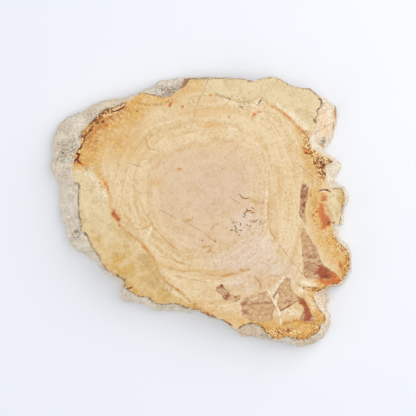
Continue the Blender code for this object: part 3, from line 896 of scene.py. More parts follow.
# The dark line along the rim: partly a brown edge, partly painted shade of the narrow gap where the face
# meets the bark.
keep("rim_line_and_shade", strongest(strokes=[
    ([
        (80, 136), (85, 131), (90, 126), (96, 119), (101, 113), (107, 108.6), (114, 105.6), (122, 102),
    ], 2.4, 1.1),
    ([(76, 183), (78, 184), (78.4, 200), (79, 215), (80.6, 229)], 2.6, 1.1),
    ([
        (82, 233), (88, 236), (90, 244), (97, 255), (103, 264), (107, 270), (120, 277), (125, 280),
        (124, 287),
    ], 2.6, 1.0),
    ([
        (127, 289), (131, 293), (137, 297), (148, 299), (156, 304), (177, 304.6), (196, 310), (212, 317),
        (231, 328),
    ], 2.6, 1.0),
    ([(240.4, 328), (245, 325.4), (250, 324.8), (257, 325), (261, 327), (265, 331)], 2.4, 1.1),
    ([(138, 94), (150, 93.6), (160, 96), (170, 96.4), (176, 91.6)], 2.0, 0.8),
    ([(189, 78), (215, 77), (245, 78), (252, 80.6)], 2.4, 0.9),
    ([(258, 79), (272, 76), (284, 82), (300, 87.6), (310, 89)], 2.4, 0.6),
    ([
        (310, 89), (316, 94), (320, 99), (323.6, 104), (318, 109), (317, 114), (314, 121), (318, 122),
    ], 2.4, 1.1),
    ([(334, 189), (341, 187), (344, 192), (344.6, 200), (342, 208), (341, 224)], 2.4, 0.75),
    (LOBE_RIM, 2.6, 0.6),
    (FOOT_RIM, 2.6, 0.6),
]))
print("bark zones kept")

# %% [markdown]
# Both the relief and the finishes are node trees, and long chains of Math nodes are hard to read. This
# small class wraps a socket, so that ordinary Python arithmetic adds the nodes. Any other node comes from
# one method that takes the node's type, its settings and its sockets.

# %% Arithmetic on node sockets
class Wire:
    """One socket of a node tree. An operation on it adds a Math node."""

    def __init__(self, web, socket):
        self.web = web
        self.socket = socket

    def math(self, operation, first, second=0.0):
        """A Math node."""
        return self.web.node("ShaderNodeMath", {"operation": operation}, {0: first, 1: second})

    def __add__(self, other):
        return self.math("ADD", self, other)

    def __sub__(self, other):
        return self.math("SUBTRACT", self, other)

    def __mul__(self, other):
        return self.math("MULTIPLY", self, other)

    def __abs__(self):
        return self.math("ABSOLUTE", self)


class Web:
    """A node tree that is being written."""

    def __init__(self, tree):
        self.tree = tree

    def feed(self, node, name, value):
        """Gives a socket of a node a value or a link."""
        if isinstance(value, Wire):
            self.tree.links.new(value.socket, node.inputs[name])
        else:
            node.inputs[name].default_value = value

    def node(self, kind, settings=None, inputs=None, output=0):
        """Adds a node: its settings first, then the values or links of its sockets."""
        made = self.tree.nodes.new(kind)
        for name, value in (settings or {}).items():
            setattr(made, name, value)
        for name, value in (inputs or {}).items():
            self.feed(made, name, value)
        return Wire(self, made.outputs[output])

    def vector(self, operation, first, second=(0.0, 0.0, 0.0)):
        """A Vector Math node."""
        return self.node("ShaderNodeVectorMath", {"operation": operation}, {0: first, 1: second})

    def scaled(self, vector, size):
        """A vector times a number."""
        return self.node("ShaderNodeVectorMath", {"operation": "SCALE"}, {0: vector, "Scale": size})

    def parts(self, vector):
        """The three numbers of a vector."""
        split = self.node("ShaderNodeSeparateXYZ", {}, {0: vector}).socket.node
        return [Wire(self, socket) for socket in split.outputs]

    def joined(self, x, y, z):
        """A vector of three numbers."""
        return self.node("ShaderNodeCombineXYZ", {}, {0: x, 1: y, 2: z})

    def step(self, value, low, high):
        """0 at low, 1 at high, eased in between. It falls where low is the larger."""
        limits = {"Value": value, "From Min": low, "From Max": high}
        return self.node("ShaderNodeMapRange", {"interpolation_type": "SMOOTHSTEP"}, limits)

    def noise(self, place, size_mm, detail=2.0, rough=0.5, output=0):
        """Cloudy noise with features of a size in millimetres, on places in metres."""
        inputs = {"Vector": place, "Scale": 1000 / size_mm, "Detail": detail, "Roughness": rough}
        return self.node("ShaderNodeTexNoise", {}, inputs, output)

    def cells(self, place, size_mm, output="Distance", feature="F1"):
        """Cell noise of a size in millimetres."""
        inputs = {"Vector": place, "Scale": 1000 / size_mm}
        return self.node("ShaderNodeTexVoronoi", {"feature": feature}, inputs, output)

    def warped(self, place, size_mm, reach):
        """Places that cloudy noise of a size in millimetres pushes about, by up to a reach in metres."""
        return self.vector("ADD", place, self.scaled(self.noise(place, size_mm, output=1), reach))


def from_axis(web, place):
    """The level direction from the growth axis to a place."""
    away = web.vector("SUBTRACT", place, (*CENTRE, 0))
    return web.vector("NORMALIZE", web.vector("MULTIPLY", away, (1, 1, 0)))


print("Wire and Web ready")

# %% [markdown]
# The bark's relief is weathered stone: ribs that run down it where the wood's grain was, broad crumbling
# lumps, and small pits. It is real geometry, pushed straight out from the growth axis by Geometry Nodes,
# so that the flat faces stay flat. An attribute says how freely each vertex may move: not at all on the
# flat faces, a little at the sharp rim, fully on the bark.

# %% Where the stone may move
RIM_FREEDOM = 0.6
FREE_AFTER_ROWS = 4
RIM_SOFT_PX = 5
SEAM_STEEPNESS = 4

freedom = np.ones(len(places))
freedom[on_face] = RIM_FREEDOM * np.clip(1 - rim_distance[on_face] / RIM_SOFT_PX, 0, 1)
freedom[on_base] = 0
freedom[:count] = RIM_FREEDOM
freedom[base_start:base_start + count] = RIM_FREEDOM
for row in range(1, FREE_AFTER_ROWS):
    start = ring_starts[row]
    freedom[start:start + count] = RIM_FREEDOM + (1 - RIM_FREEDOM) * row / FREE_AFTER_ROWS
freedom[len(face_flat):base_start] *= 1 - PULLED_IN * np.tile(bare, len(sides))
keep("freedom", freedom)
seam_distance = line_distance(SEAM)[0]
keep("sunk", SEAM_DEPTH * np.exp(-(seam_distance / SEAM_WIDTH_PX) ** SEAM_STEEPNESS) * on_face)
zone = slice_mesh.attributes.new("zone", "INT", "FACE")
zone.data.foreach_set("value", [0] * len(face_triangles) + [1] * len(quads) + [2] * len(base_faces))
print("deepest seam %.1f mm" % (1000 * SEAM_DEPTH))

# %% [markdown]
# The relief could be sculpted by hand, but noise on places in metres keeps one grain all the way round,
# and each height stays an input of the tree. The ribs are noise that hardly changes down the side. The
# tree ends by giving each zone its finish.

# %% The relief tree
MEAN_RADIUS = 0.11
RIB_STRETCH = 0.16

polished = bpy.data.materials.new("polished_agate_wood")
bark = bpy.data.materials.new("stone_bark")
sawn = bpy.data.materials.new("sawn_stone")
for finish in (polished, bark, sawn):
    slice_mesh.materials.append(finish)

relief_tree = bpy.data.node_groups.new("bark_relief", "GeometryNodeTree")
relief_tree.interface.new_socket("Stone", in_out="INPUT", socket_type="NodeSocketGeometry")
for size in ("Rib Height", "Lump Height", "Crumb Height", "Pit Depth"):
    relief_tree.interface.new_socket(size, in_out="INPUT", socket_type="NodeSocketFloat")
relief_tree.interface.new_socket("Stone", in_out="OUTPUT", socket_type="NodeSocketGeometry")

relief = Web(relief_tree)
entry = relief.tree.nodes.new("NodeGroupInput")
given = {socket.name: Wire(relief, socket) for socket in entry.outputs if socket.name}
where = relief.node("GeometryNodeInputPosition")
away = from_axis(relief, where)
_, _, up = relief.parts(where)
away_x, away_y, _ = relief.parts(relief.scaled(away, MEAN_RADIUS))
down_grain = relief.joined(away_x, away_y, up * RIB_STRETCH)


def stored(name):
    """What an attribute of the mesh says, inside Geometry Nodes."""
    return relief.node("GeometryNodeInputNamedAttribute", {"data_type": "FLOAT"}, {"Name": name})


ribs = abs(relief.noise(down_grain, 5.0, 3, 0.6) - 0.5) * 2
lumps = relief.noise(where, 7.0, 2, 0.5) - 0.5
crumbs = relief.noise(where, 1.9, 3, 0.7) - 0.5
pit_patches = relief.step(relief.noise(where, 16.0, 1, 0.5), 0.52, 0.62)
pits = relief.step(relief.cells(where, 4.2), 0.42, 0.05) * pit_patches
out = (ribs - 0.2) * given["Rib Height"] + lumps * given["Lump Height"] + crumbs * given["Crumb Height"]
out = (out - pits * given["Pit Depth"]) * stored("freedom")
push = relief.vector("SUBTRACT", relief.scaled(away, out), relief.joined(0.0, 0.0, stored("sunk")))
moved = relief.node("GeometryNodeSetPosition", {}, {"Geometry": given["Stone"], "Offset": push})
real = relief.node("GeometryNodeRealizeInstances", {}, {"Geometry": moved})
kind = relief.node("GeometryNodeInputNamedAttribute", {"data_type": "INT"}, {"Name": "zone"})
for number, finish in enumerate((polished, bark, sawn)):
    # Sockets 2 and 3 of a Compare node are its whole numbers.
    equal = {"data_type": "INT", "operation": "EQUAL"}
    chosen = relief.node("FunctionNodeCompare", equal, {2: kind, 3: number})
    finishing = {"Geometry": real, "Selection": chosen, "Material": finish}
    real = relief.node("GeometryNodeSetMaterial", {}, finishing)
leaving = relief.tree.nodes.new("NodeGroupOutput")
relief.feed(leaving, 0, real)
print(len(relief_tree.nodes), "nodes in the relief tree")

# %% [markdown]
# The heights are a guess from how rough the bark looks in the photograph. The pushed shape is then turned
# into a plain mesh and the modifier is taken off, so that what is handed over is ordinary geometry.

# %% Push out the bark
SIZES = {"Rib Height": 0.0016, "Lump Height": 0.0024, "Crumb Height": 0.0022, "Pit Depth": 0.0012}

work = slab.modifiers.new("relief", "NODES")
work.node_group = relief_tree
for socket in relief_tree.interface.items_tree:
    if socket.in_out == "INPUT" and socket.name in SIZES:
        work[socket.identifier] = SIZES[socket.name]
before = np.array([vertex.co for vertex in slice_mesh.vertices])
seen = slab.evaluated_get(bpy.context.evaluated_depsgraph_get())
slice_mesh = bpy.data.meshes.new_from_object(seen)
slab.modifiers.clear()
slab.data = slice_mesh
slab.name = slice_mesh.name = "petrified_slice"
after = np.array([vertex.co for vertex in slice_mesh.vertices])
print("relief moves the bark by up to %.2f mm" % (1000 * np.abs(after - before).max()))
print("materials:", [material.name for material in slice_mesh.materials])

# %% [markdown]
# Colours are written as they look on a screen, from 0 to 255, and turned into the linear light that the
# renderer works in. The lights are a little brighter than white and the stone's gloss adds some white to
# every colour, so both are taken off first.

# %% Colours of the stone
LIGHT = 1.05
GLOSS = 0.016
DARKEST = 0.004


def tint(red, green, blue):
    """A screen colour as linear light."""
    parts = [value / 255 for value in (red, green, blue)]
    light = [v / 12.92 if v <= 0.04045 else ((v + 0.055) / 1.055) ** 2.4 for v in parts]
    return (*[max(v / LIGHT - GLOSS, DARKEST) for v in light], 1.0)


CREAM = tint(233, 208, 165)
HEART_TAN = tint(225, 197, 164)
HEART_ROSE = tint(220, 192, 166)
HEART_COOL = tint(230, 211, 196)
GRAIN_GOLD = tint(210, 164, 96)
GRAIN_PALE = tint(246, 228, 194)
GOLD = tint(226, 174, 84)
GOLD_PALE = tint(246, 216, 154)
AMBER = tint(190, 116, 34)
SAP_KHAKI = tint(232, 210, 168)
SAP_TAN = tint(220, 184, 122)
OCHRE = tint(212, 162, 62)
OLIVE = tint(182, 150, 92)
STAIN_ORANGE = tint(218, 132, 56)
BLOT_RED = tint(214, 114, 66)
BRICK = tint(176, 82, 46)
RUST_DARK = tint(112, 46, 20)
# Brown of the dark rim line, which also stands in for painted shade at the rim.
RIM_BROWN_AND_SHADE = tint(110, 66, 40)
CHIPPED = tint(232, 216, 192)
PALE = tint(250, 237, 212)
PATCH_TAN = tint(212, 171, 125)
PATCH_MAUVE = tint(168, 110, 86)
PATCH_RED = tint(166, 76, 44)
PATCH_DARK = tint(118, 70, 50)
DRUSE_LIGHT = tint(251, 222, 164)
DRUSE_DARK = tint(146, 84, 38)
DRUSE_RED = tint(132, 52, 22)
LINE_OCHRE = tint(196, 130, 54)
LINE_GREY = tint(146, 118, 88)
LINE_BROWN = tint(132, 84, 52)
LINE_OLIVE = tint(164, 136, 82)
SMEAR_GOLD = tint(196, 146, 72)
WHITE_CARD = tint(245, 248, 254)
print("a colour in linear light:", [round(v, 3) for v in GOLD])

# %% [markdown]
# The pattern runs right through the stone, so the polished face and the sawn underside share one recipe
# for their colour. It goes on in coats, as a painter would lay it: the heartwood and its rings, then the
# gold, the sapwood, the brown patches, the red and dark stains, and the cracks last of all.

# %% Brushes
# As a noise size, this leaves a pattern's own numbers as they are.
UNSCALED = 1000


def noted(web, name):
    """What an attribute of the mesh says, inside a material."""
    return web.node("ShaderNodeAttribute", {"attribute_name": name}, {}, "Fac")


def coat(web, share, under, over):
    """One colour laid over another. A Mix node keeps its colours in sockets 6 and 7 and in output 2."""
    return web.node("ShaderNodeMix", {"data_type": "RGBA"}, {0: share, 6: under, 7: over}, 2)


def mottled(web, under, noise, low, high, strength):
    """Noise that tints a colour towards one shade where it is low and another where it is high."""
    colour = coat(web, web.step(noise, 0.52, 0.33) * strength, under, low)
    return coat(web, web.step(noise, 0.48, 0.67) * strength, colour, high)


def ragged(web, name, *noises):
    """A stored field that noises break up, each (noise, weight)."""
    field = noted(web, name)
    for noise, weight in noises:
        field = field + (noise - 0.5) * weight
    return field


def blotted(web, name, noise, weight, soft=0.25):
    """A stored stain as a share from 0 to 1, with its edge broken up by noise."""
    return web.step(ragged(web, name, (noise, weight)), 0.5 - soft, 0.5 + soft)


# %% [markdown]
# The heart is tan and rosy, with cream outside it. Its rings are noise stretched along the ring number,
# coarse for the bands and fine for the hairs, because drawn circles would look like a target. Gold and
# amber come next, with the fine rays that cross the rings near the rim.

# %% Heartwood and gold
def heartwood(web, place, away_x, away_y, grit, blur):
    """Tan and rosy at the heart, cream outside it, with hair-fine growth rings."""
    ring = ragged(web, "ring", (web.noise(place, 18, 2), 7))
    bands = web.noise(web.joined(ring * 0.16, away_x, away_y), UNSCALED, 4, 0.6)
    hairs = web.noise(web.joined(ring * 0.42, away_x * 2.4, away_y * 2.4), UNSCALED, 2, 0.5)
    colour = mottled(web, CREAM, blur, GRAIN_GOLD, PALE, 0.28)
    edge = ragged(web, "heart", (web.noise(place, 16, 3), 26))
    core = coat(web, blotted(web, "rosy", blur, 1.2) * 0.8, HEART_TAN, HEART_ROSE)
    core = mottled(web, core, blur, GRAIN_GOLD, GRAIN_PALE, 0.22)
    core = coat(web, blotted(web, "cool", blur, 1.3, 0.35) * 0.85, core, HEART_COOL)
    colour = coat(web, web.step(edge, -14, 14), colour, core)
    outer = web.step(noted(web, "ring"), 30, 66) * 0.6 + 0.25
    colour = mottled(web, colour, bands, GRAIN_PALE, GRAIN_GOLD, outer * 0.5)
    patchy = web.step(web.noise(place, 24, 2), 0.38, 0.62)
    colour = coat(web, web.step(abs(hairs - 0.5), 0.05, 0.0) * patchy * outer * 0.65, colour, GRAIN_GOLD)
    band = web.step(ragged(web, "band", (grit, 3)), -0.6, 1.0) * web.step(blur, 0.34, 0.62)
    colour = coat(web, band * 0.5, colour, GRAIN_GOLD)
    return mottled(web, colour, grit, GRAIN_GOLD, GRAIN_PALE, outer * 0.3 + 0.2)


def golden(web, place, away_x, away_y, under, grit, blur):
    """Gold and amber near the rim, with the fine rays that cross the rings there."""
    gold = noted(web, "gold")
    share = web.step(gold * ((blur - 0.5) * 2.6 + (grit - 0.5) * 1.2 + 1.0), 0.08, 0.8)
    colour = coat(web, share * 0.9, under, mottled(web, GOLD, grit, GOLD_PALE, AMBER, 0.5))
    veins = web.step(abs(web.noise(place, 7, 3, 0.6) - 0.5), 0.05, 0.0) * web.step(gold, 0.4, 0.9)
    colour = coat(web, veins * 0.45, colour, AMBER)
    flecks = web.step(web.noise(place, 3.2, 3, 0.6), 0.44, 0.33) * web.step(gold, 0.2, 0.8)
    colour = coat(web, flecks * 0.6, colour, GOLD_PALE)
    amber = ragged(web, "amber", (blur, 1.6), (grit, 1.6))
    colour = coat(web, web.step(amber, 0.3, 1.1) * 0.8, colour, AMBER)
    rays = web.noise(web.joined(away_x * 130, away_y * 130, noted(web, "ring") * 0.09), UNSCALED, 2, 0.6)
    fine = web.noise(place, 1.5, 2, 0.6)
    colour = mottled(web, colour, fine, AMBER, GOLD_PALE, web.step(gold, 0.0, 0.7) * 0.3)
    return mottled(web, colour, rays, AMBER, GRAIN_PALE, noted(web, "rays") * 0.7 + 0.05)


# %% [markdown]
# The sapwood meets the heartwood in a line that is crisp in one place and blurred in another, so a stored
# field says how soft it is. The brown patches have crisp edges, and a dark line that comes and goes.

# %% Sapwood and patches
# The folds in the khaki, 60 to a metre, bend its clouds.
FOLD_SIZE_MM = 1000 / 60
FOLD_REACH = 0.02


def sapwood(web, place, under, grit):
    """The khaki fields, their ochre clouds, and the stained line where they meet the heartwood."""
    soft = noted(web, "corner")
    edge = ragged(web, "sap", (web.noise(place, 3.0, 3, 0.6), soft * 18.0 + 4.0))
    clouds = web.noise(web.warped(place, FOLD_SIZE_MM, FOLD_REACH), 12, 4, 0.55)
    low = ragged(web, "low_sap", (clouds, 1.1))
    khaki = coat(web, web.step(low, 0.15, 1.0), SAP_KHAKI, SAP_TAN)
    khaki = coat(web, blotted(web, "ochre", clouds, 1.6, 0.35) * 0.8, khaki, OCHRE)
    khaki = coat(web, blotted(web, "olive", clouds, 1.6, 0.35) * 0.45, khaki, OLIVE)
    khaki = mottled(web, khaki, clouds, GRAIN_PALE, OLIVE, 0.2)
    khaki = mottled(web, khaki, grit, OLIVE, GRAIN_PALE, 0.27)
    colour = coat(web, web.step(edge, soft * -3.0 - 0.6, soft * 2.0 + 0.6), under, khaki)
    stain = noted(web, "sap_stain")
    breaks = web.step(web.noise(place, 4.5, 2), 0.36, 0.56)
    halo = web.step(abs(edge - 0.4), 4.0, 0.0) * stain * 0.55
    line = web.step(abs(edge), 1.6, 0.2) * breaks * stain
    return coat(web, line * 0.8, coat(web, halo, colour, GRAIN_GOLD), LINE_OCHRE)


def broken_patches(web, place, under, grit):
    """Brown angular patches with a fibrous speckle and a broken dark outline."""
    edge = ragged(web, "patch", (grit, 3.0))
    fibres = web.noise(web.vector("MULTIPLY", place, (0.6, 1.0, 1.0)), 1.7, 4, 0.75)
    tone = ragged(web, "mauve", (fibres, 2.2))
    colour = coat(web, web.step(tone, 0.1, 1.0), PATCH_TAN, PATCH_MAUVE)
    colour = mottled(web, colour, fibres, GRAIN_PALE, PATCH_DARK, 0.4)
    colour = coat(web, blotted(web, "patch_red", fibres, 1.6, 0.3) * 0.85, colour, PATCH_RED)
    outline = web.step(edge, 1.7, 0.5) * web.step(web.noise(place, 5, 2), 0.42, 0.58)
    colour = coat(web, outline * 0.45, colour, PATCH_DARK)
    return coat(web, web.step(edge, -0.3, 0.5), under, colour)


# %% [markdown]
# The stains go on roughly from the lightest to the darkest. The lines differ only in colour, strength,
# width, how far they fade past their ends and how broken they are, so one loop draws them all.

# %% Stains, lines and specks
def stained(web, place, under, grit, blur):
    """Gold that ran into the sapwood, pale zones, granular druse, brick red clouds and dark blotches."""
    ran = ragged(web, "corner", (blur, 1.6), (grit, 4.0))
    colour = coat(web, web.step(ran, 0.3, 1.1) * 0.7, under, mottled(web, GOLD, grit, GOLD_PALE, AMBER, 0.4))
    bleached = noted(web, "pale") * 0.8 + (blur - 0.5) * 1.4 + (grit - 0.5) * 2.2
    colour = coat(web, web.step(bleached, 0.25, 1.0) * 0.75, colour, PALE)
    druse = blotted(web, "druse", blur, 1.0)
    grain, spare, _ = web.parts(web.cells(place, 1.05, "Color"))
    colour = coat(web, druse * web.step(grain, 0.55, 0.75) * 0.85, colour, DRUSE_LIGHT)
    clump = noted(web, "clump")
    grains = web.step(grain, clump * 0.45 + 0.4, clump * 0.45 + 0.14) * (clump * 0.15 + 0.75)
    colour = coat(web, druse * grains, colour, coat(web, clump, DRUSE_DARK, DRUSE_RED))
    colour = coat(web, druse * web.step(spare, 0.86, 0.95) * 0.7, colour, BRICK)
    red = noted(web, "red") * ((blur - 0.5) * 1.4 + (grit - 0.5) * 3.6 + 1.0)
    colour = coat(web, web.step(red, 0.3, 0.6) * 0.7, colour, STAIN_ORANGE)
    colour = coat(web, web.step(red, 0.6, 1.1) * 0.8, colour, BRICK)
    depth = ragged(web, "blot", (grit, 7.0), (blur, 4.0))
    colour = coat(web, web.step(depth, -1.6, 0.4) * 0.6, colour, STAIN_ORANGE)
    deepest = ragged(web, "blot_dark", (grit, 1.6))
    blood = coat(web, web.step(deepest, 0.05, 0.45), BLOT_RED, BRICK)
    blood = mottled(web, blood, web.noise(place, 1.4, 3, 0.7), RUST_DARK, STAIN_ORANGE, 0.5)
    colour = coat(web, web.step(depth, 0.0, 1.6) * 0.75, colour, blood)
    colour = coat(web, web.step(deepest, 0.5, 0.95) * 0.55, colour, RUST_DARK)
    dark = web.step(ragged(web, "dark", (grit, 2.6)), 0.45, 0.85)
    return coat(web, dark * 0.85, colour, RUST_DARK)


def lined(web, place, under, grit):
    """Healed cracks, the rust line, the specks beside the heart and the chipped rim, whose dark line is
    partly brown and partly painted shade.
    """
    jag = (web.noise(place, 2.4, 3, 0.7) - 0.5) * 4.5
    gaps = web.step(web.noise(place, 6, 3), 0.34, 0.54)
    swell = web.step(web.noise(place, 3.6, 3, 0.7), 0.28, 0.56)
    colour = under
    broken = gaps * 0.7 + 0.3
    crumbs = web.step(grit, 0.42, 0.54)
    beads = crumbs * broken
    styles = (
        ("ochre", LINE_OCHRE, 0.42, 1.1, 1.6, broken),
        ("grey", LINE_GREY, 0.5, 0.7, 1.6, broken),
        ("smear", SMEAR_GOLD, 0.7, 2.2, 0.6, crumbs),
        ("olive", LINE_OLIVE, 0.6, 2.2, 0.8, beads),
        ("orange", STAIN_ORANGE, 0.95, 2.4, 0.6, beads),
        ("brown", LINE_BROWN, 0.9, 0.8, 0.3, swell * 0.5 + 0.5),
        ("rust", RUST_DARK, 0.95, 1.25, 1.2, crumbs * 0.3 + 0.7),
        ("pale", PALE, 0.6, 1.0, 0.8, broken),
    )
    for name, shade, strength, width, overrun, whole in styles:
        side = abs(noted(web, name + "_side") + jag * (0.22 * width))
        line = web.step(side - swell * (0.5 * width), 0.5 * width, 0.0)
        ends = web.step(noted(web, name + "_near"), width + overrun, width * 0.6 + overrun * 0.5)
        colour = coat(web, line * ends * whole * strength, colour, shade)
    chance, size, _ = web.parts(web.cells(place, 2.1, "Color"))
    dots = web.step(web.cells(place, 2.1) - size * 0.16 + (grit - 0.5) * 0.3, 0.3, 0.14)
    colour = coat(web, dots * web.step(noted(web, "specks") - chance, 0.05, 0.2) * 0.8, colour, LINE_BROWN)
    freckles = web.step(web.cells(place, 6.0), 0.2, 0.08) * web.step(web.noise(place, 30, 1), 0.46, 0.6)
    colour = coat(web, freckles * 0.4, colour, LINE_OCHRE)
    brink = ragged(web, "rim", (web.noise(place, 3.2, 3, 0.75), 7.0))
    colour = coat(web, web.step(brink, 0.7, 0.2) * 0.85, colour, CHIPPED)
    # A dark line just inside the rim: partly brown stone, partly painted shade of the gap between face and
    # bark.
    rim = web.step(abs(brink - 0.7) - swell * 0.3, 0.55, 0.1) * blotted(web, "rim_line_and_shade", grit, 1.8)
    rim = rim * (gaps * 0.6 + 0.4)
    return coat(web, rim * 0.8, colour, RIM_BROWN_AND_SHADE)


def stone_pattern(web, place):
    """All the coats, from the heartwood to the lines."""
    grit = web.noise(place, 1.7, 3, 0.62)
    blur = web.noise(place, 6.5, 4, 0.6)
    away = web.vector("NORMALIZE", web.vector("SUBTRACT", place, (*CENTRE, THICKNESS)))
    away_x, away_y, _ = web.parts(away)
    colour = heartwood(web, place, away_x, away_y, grit, blur)
    colour = golden(web, place, away_x, away_y, colour, grit, blur)
    colour = sapwood(web, place, colour, grit)
    colour = broken_patches(web, place, colour, grit)
    colour = stained(web, place, colour, grit, blur)
    return lined(web, place, colour, grit)


# %% [markdown]
# Polish leaves the stone glossy, apart from the open grains of the druse. The underside isn't in the
# photograph. It is finished as a saw leaves it: matt, dusty and faintly scored, over the same pattern.

# %% Polished face and sawn underside
LOW_SHINE = 0.2


def principled(material):
    """The material's tree, its shader and the object's own coordinates."""
    material.use_nodes = True
    web = Web(material.node_tree)
    return web, material.node_tree.nodes["Principled BSDF"], web.node("ShaderNodeTexCoord", {}, {}, "Object")


def finished(web, shader, colour, roughness, height, strength, depth):
    """Feeds the shader: colour, roughness, and a bump of a height pattern with a depth in metres."""
    web.feed(shader, "Base Color", colour)
    web.feed(shader, "Roughness", roughness)
    bump = {"Height": height, "Strength": strength, "Distance": depth}
    web.feed(shader, "Normal", web.node("ShaderNodeBump", {}, bump))


web, shader, place = principled(polished)
grit = web.noise(place, 1.2, 3, 0.6)
grains = blotted(web, "druse", grit, 1.2)
roughness = grains * 0.3 + web.noise(place, 12, 3) * 0.1 + 0.24
finished(web, shader, stone_pattern(web, place), roughness, grains * grit, 0.5, 0.0004)
web.feed(shader, "Specular IOR Level", LOW_SHINE)

web, shader, place = principled(sawn)
saw_marks = web.noise(web.vector("MULTIPLY", place, (1.0, 0.03, 1.0)), 1.2, 3, 0.6)
dust = web.noise(place, 8, 4, 0.6)
pattern = coat(web, dust * 0.5 + 0.1, stone_pattern(web, place), PALE)
pattern = coat(web, web.step(saw_marks, 0.5, 0.75) * 0.2, pattern, PATCH_TAN)
finished(web, shader, pattern, saw_marks * 0.2 + 0.6, saw_marks, 0.5, 0.0003)
print("nodes: polished", len(polished.node_tree.nodes), "sawn", len(sawn.node_tree.nodes))

# %% [markdown]
# The bark has weathered to a chalky grey beige. It was never polished, so it takes no shine. Streaks run
# down it, hollows hold grey dirt, and where it broke off freshly it is pinkish white.

# %% Bark colours
BARK_BEIGE = tint(255, 240, 216)
BARK_SHADE = tint(210, 178, 144)
BARK_LIGHT = tint(255, 252, 238)
BARK_GREY = tint(180, 160, 132)
BARK_PINK = tint(255, 234, 202)
BARK_BROWN = tint(190, 130, 72)
BARK_PEACH = tint(255, 214, 168)
BARK_DIRT = tint(108, 84, 46)
BARK_LAYER = tint(246, 232, 214)
print("bark beige in linear light:", [round(v, 3) for v in BARK_BEIGE])

# %% [markdown]
# The grain of the bark is streaks down the side, clouds, grit, thin layers, and curls and flakes like
# those of dried mud. `rough` says how strongly the grit and the curls show: more where the bark is grey
# or pink, and less where it is smooth or layered.

# %% Bark grain
CURL_SIZE_MM = 5.0
CURL_REACH = 0.003
FLAKE_REACH = 0.004

web, shader, place = principled(bark)
away_x, away_y, _ = web.parts(web.scaled(from_axis(web, place), MEAN_RADIUS))
_, _, up = web.parts(place)
streaks = web.noise(web.joined(away_x, away_y, up * 0.12), 2.2, 4, 0.65)
clouds = web.noise(place, 9, 4, 0.6)
grit = web.noise(place, 1.3, 4, 0.72)
layers = web.noise(web.joined(away_x * 0.12, away_y * 0.12, up), 1.7, 3, 0.6)
curls = web.noise(web.warped(place, CURL_SIZE_MM, CURL_REACH), 2.8, 2, 0.6)
flakes = web.cells(web.warped(place, CURL_SIZE_MM, FLAKE_REACH), 3.4, "Distance", "DISTANCE_TO_EDGE")
layered = blotted(web, "bark_layers", clouds, 1.0)
rough = web.step(web.noise(place, 18, 2), 0.36, 0.6) * 0.5 + noted(web, "bark_grey") * 0.5
rough = rough + noted(web, "bark_pink") * 0.4 + 0.4
rough = rough - noted(web, "bark_smooth") * 0.85 - layered * 0.3
print("nodes of the bark's grain:", len(bark.node_tree.nodes))

# %% [markdown]
# The coats go on as they do on the face: beige, then the pink, peach and grey zones, then the grain, and
# last the cracks, the dirt and the dark edge along the polished face, which is partly brown and partly
# painted shade.

# %% Bark coats
colour = mottled(web, BARK_BEIGE, clouds, BARK_LIGHT, BARK_SHADE, 0.3)
colour = coat(web, blotted(web, "bark_pink", clouds, 1.2) * 0.9, colour, BARK_PINK)
colour = coat(web, blotted(web, "bark_peach", clouds, 1.2) * 0.8, colour, BARK_PEACH)
colour = coat(web, blotted(web, "bark_grey", clouds, 1.4) * 0.85, colour, BARK_GREY)
colour = coat(web, layered * 0.7, colour, BARK_LAYER)
colour = mottled(web, colour, streaks, BARK_LIGHT, BARK_SHADE, 0.3)
colour = mottled(web, colour, layers, BARK_LIGHT, BARK_SHADE, layered * 0.3 + 0.15)
colour = mottled(web, colour, grit, BARK_LIGHT, BARK_SHADE, rough)
colour = coat(web, web.step(abs(curls - 0.54), 0.05, 0.0) * rough, colour, BARK_LIGHT)
colour = coat(web, web.step(abs(curls - 0.46), 0.04, 0.0) * rough * 0.45, colour, BARK_BROWN)
cracks = web.step(flakes, 0.05, 0.0) * web.step(clouds, 0.45, 0.6)
colour = coat(web, cracks * 0.45, colour, BARK_DIRT)
colour = coat(web, blotted(web, "bark_brown", grit, 1.2) * 0.8, colour, BARK_BROWN)
dirt = web.step(grit + (clouds - 0.5) * 0.5 + noted(web, "bark_hole") * 0.4, 0.62, 0.8)
colour = coat(web, dirt * 0.7, colour, BARK_DIRT)
# The dark edge of the bark along the polished face: partly brown, partly painted shade of the gap below the
# rim.
edge = web.step(ragged(web, "rim", (grit, 4.0)), 0.9, 0.1) * blotted(web, "rim_line_and_shade", grit, 2.2)
colour = coat(web, edge * 0.8, colour, RIM_BROWN_AND_SHADE)
finished(web, shader, colour, grit * 0.15 + 0.82, streaks * 0.6 + grit, 0.8, 0.0009)
web.feed(shader, "Specular IOR Level", LOW_SHINE)
print("nodes: bark", len(bark.node_tree.nodes))

# %% [markdown]
# The piece stands for the imported solid: it rides on the only body there is.

# %% Hand the slice over
SHARP_DEGREES = 50

for polygon in slice_mesh.polygons:
    polygon.use_smooth = True
slice_mesh.set_sharp_from_angle(angle=math.radians(SHARP_DEGREES))
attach(slab, "root")
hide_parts(NODE)
check = bmesh.new()
check.from_mesh(slice_mesh)
open_edges = sum(not edge.is_manifold for edge in check.edges)
print("volume %.0f cm3, open edges %d" % (check.calc_volume(signed=True) * 1e6, open_edges))
check.free()

# %% [markdown]
# The photograph looks straight down and hardly spreads: the bark low on the side stays as far out as it is
# on the solid. So a long lens is used from far above, and the distance follows from its angle: the 416
# pixels of the picture cover 416 pixels' worth of the face.

# %% Camera
PICTURE_PX = 416
LENS_MM = 300.0
SENSOR_MM = 36.0

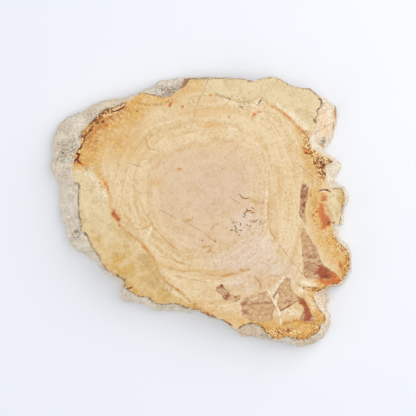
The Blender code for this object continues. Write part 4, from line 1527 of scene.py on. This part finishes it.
camera = bpy.data.objects.new("camera", bpy.data.cameras.new("camera"))
camera.data.lens = LENS_MM
camera.data.sensor_width = SENSOR_MM
distance = PICTURE_PX * PIXEL * LENS_MM / SENSOR_MM
middle_x, middle_y = at((PICTURE_PX / 2, PICTURE_PX / 2))
camera.location = (middle_x, middle_y, THICKNESS + distance)
bpy.context.scene.collection.objects.link(camera)
bpy.context.scene.camera = camera
print("camera %.2f m above the face" % distance)

# %% [markdown]
# The slice lies on a white card, in light so even that it hardly casts a shadow. Three large soft lights
# and a pale room give that, the strongest from the right.

# %% Floor and light
FLOOR_HALF = 1.5
ROOM_COLOUR = (0.97, 0.985, 1.0, 1.0)
ROOM_STRENGTH = 0.52
CARD_ROUGHNESS = 0.8

floor_mesh = bpy.data.meshes.new("floor")
floor_corners = [(x * FLOOR_HALF, y * FLOOR_HALF, 0) for x, y in ((-1, -1), (1, -1), (1, 1), (-1, 1))]
floor_mesh.from_pydata(floor_corners, [], [(0, 1, 2, 3)])
floor = bpy.data.objects.new("floor", floor_mesh)
bpy.context.scene.collection.objects.link(floor)
paper = bpy.data.materials.new("white_card")
paper.use_nodes = True
card = paper.node_tree.nodes["Principled BSDF"].inputs
card["Base Color"].default_value = WHITE_CARD
card["Roughness"].default_value = CARD_ROUGHNESS
floor_mesh.materials.append(paper)


def softbox(name, place, size, watts):
    """A square soft light aimed at the slice."""
    light = bpy.data.lights.new(name, "AREA")
    light.size = size
    light.energy = watts
    lamp = bpy.data.objects.new(name, light)
    lamp.location = place
    lamp.rotation_euler = Vector(place).to_track_quat("Z", "Y").to_euler()
    lamp.visible_camera = False
    bpy.context.scene.collection.objects.link(lamp)


softbox("key", (0.75, 0.4, 0.82), 1.2, 7.0)
softbox("top", (0.1, 0.0, 1.6), 1.0, 5.5)
softbox("fill", (-0.9, -0.35, 0.7), 1.2, 2.5)
world = bpy.data.worlds.new("soft_room")
world.use_nodes = True
room = world.node_tree.nodes["Background"].inputs
room["Color"].default_value = ROOM_COLOUR
room["Strength"].default_value = ROOM_STRENGTH
bpy.context.scene.world = world
bpy.context.scene.view_settings.view_transform = "Standard"
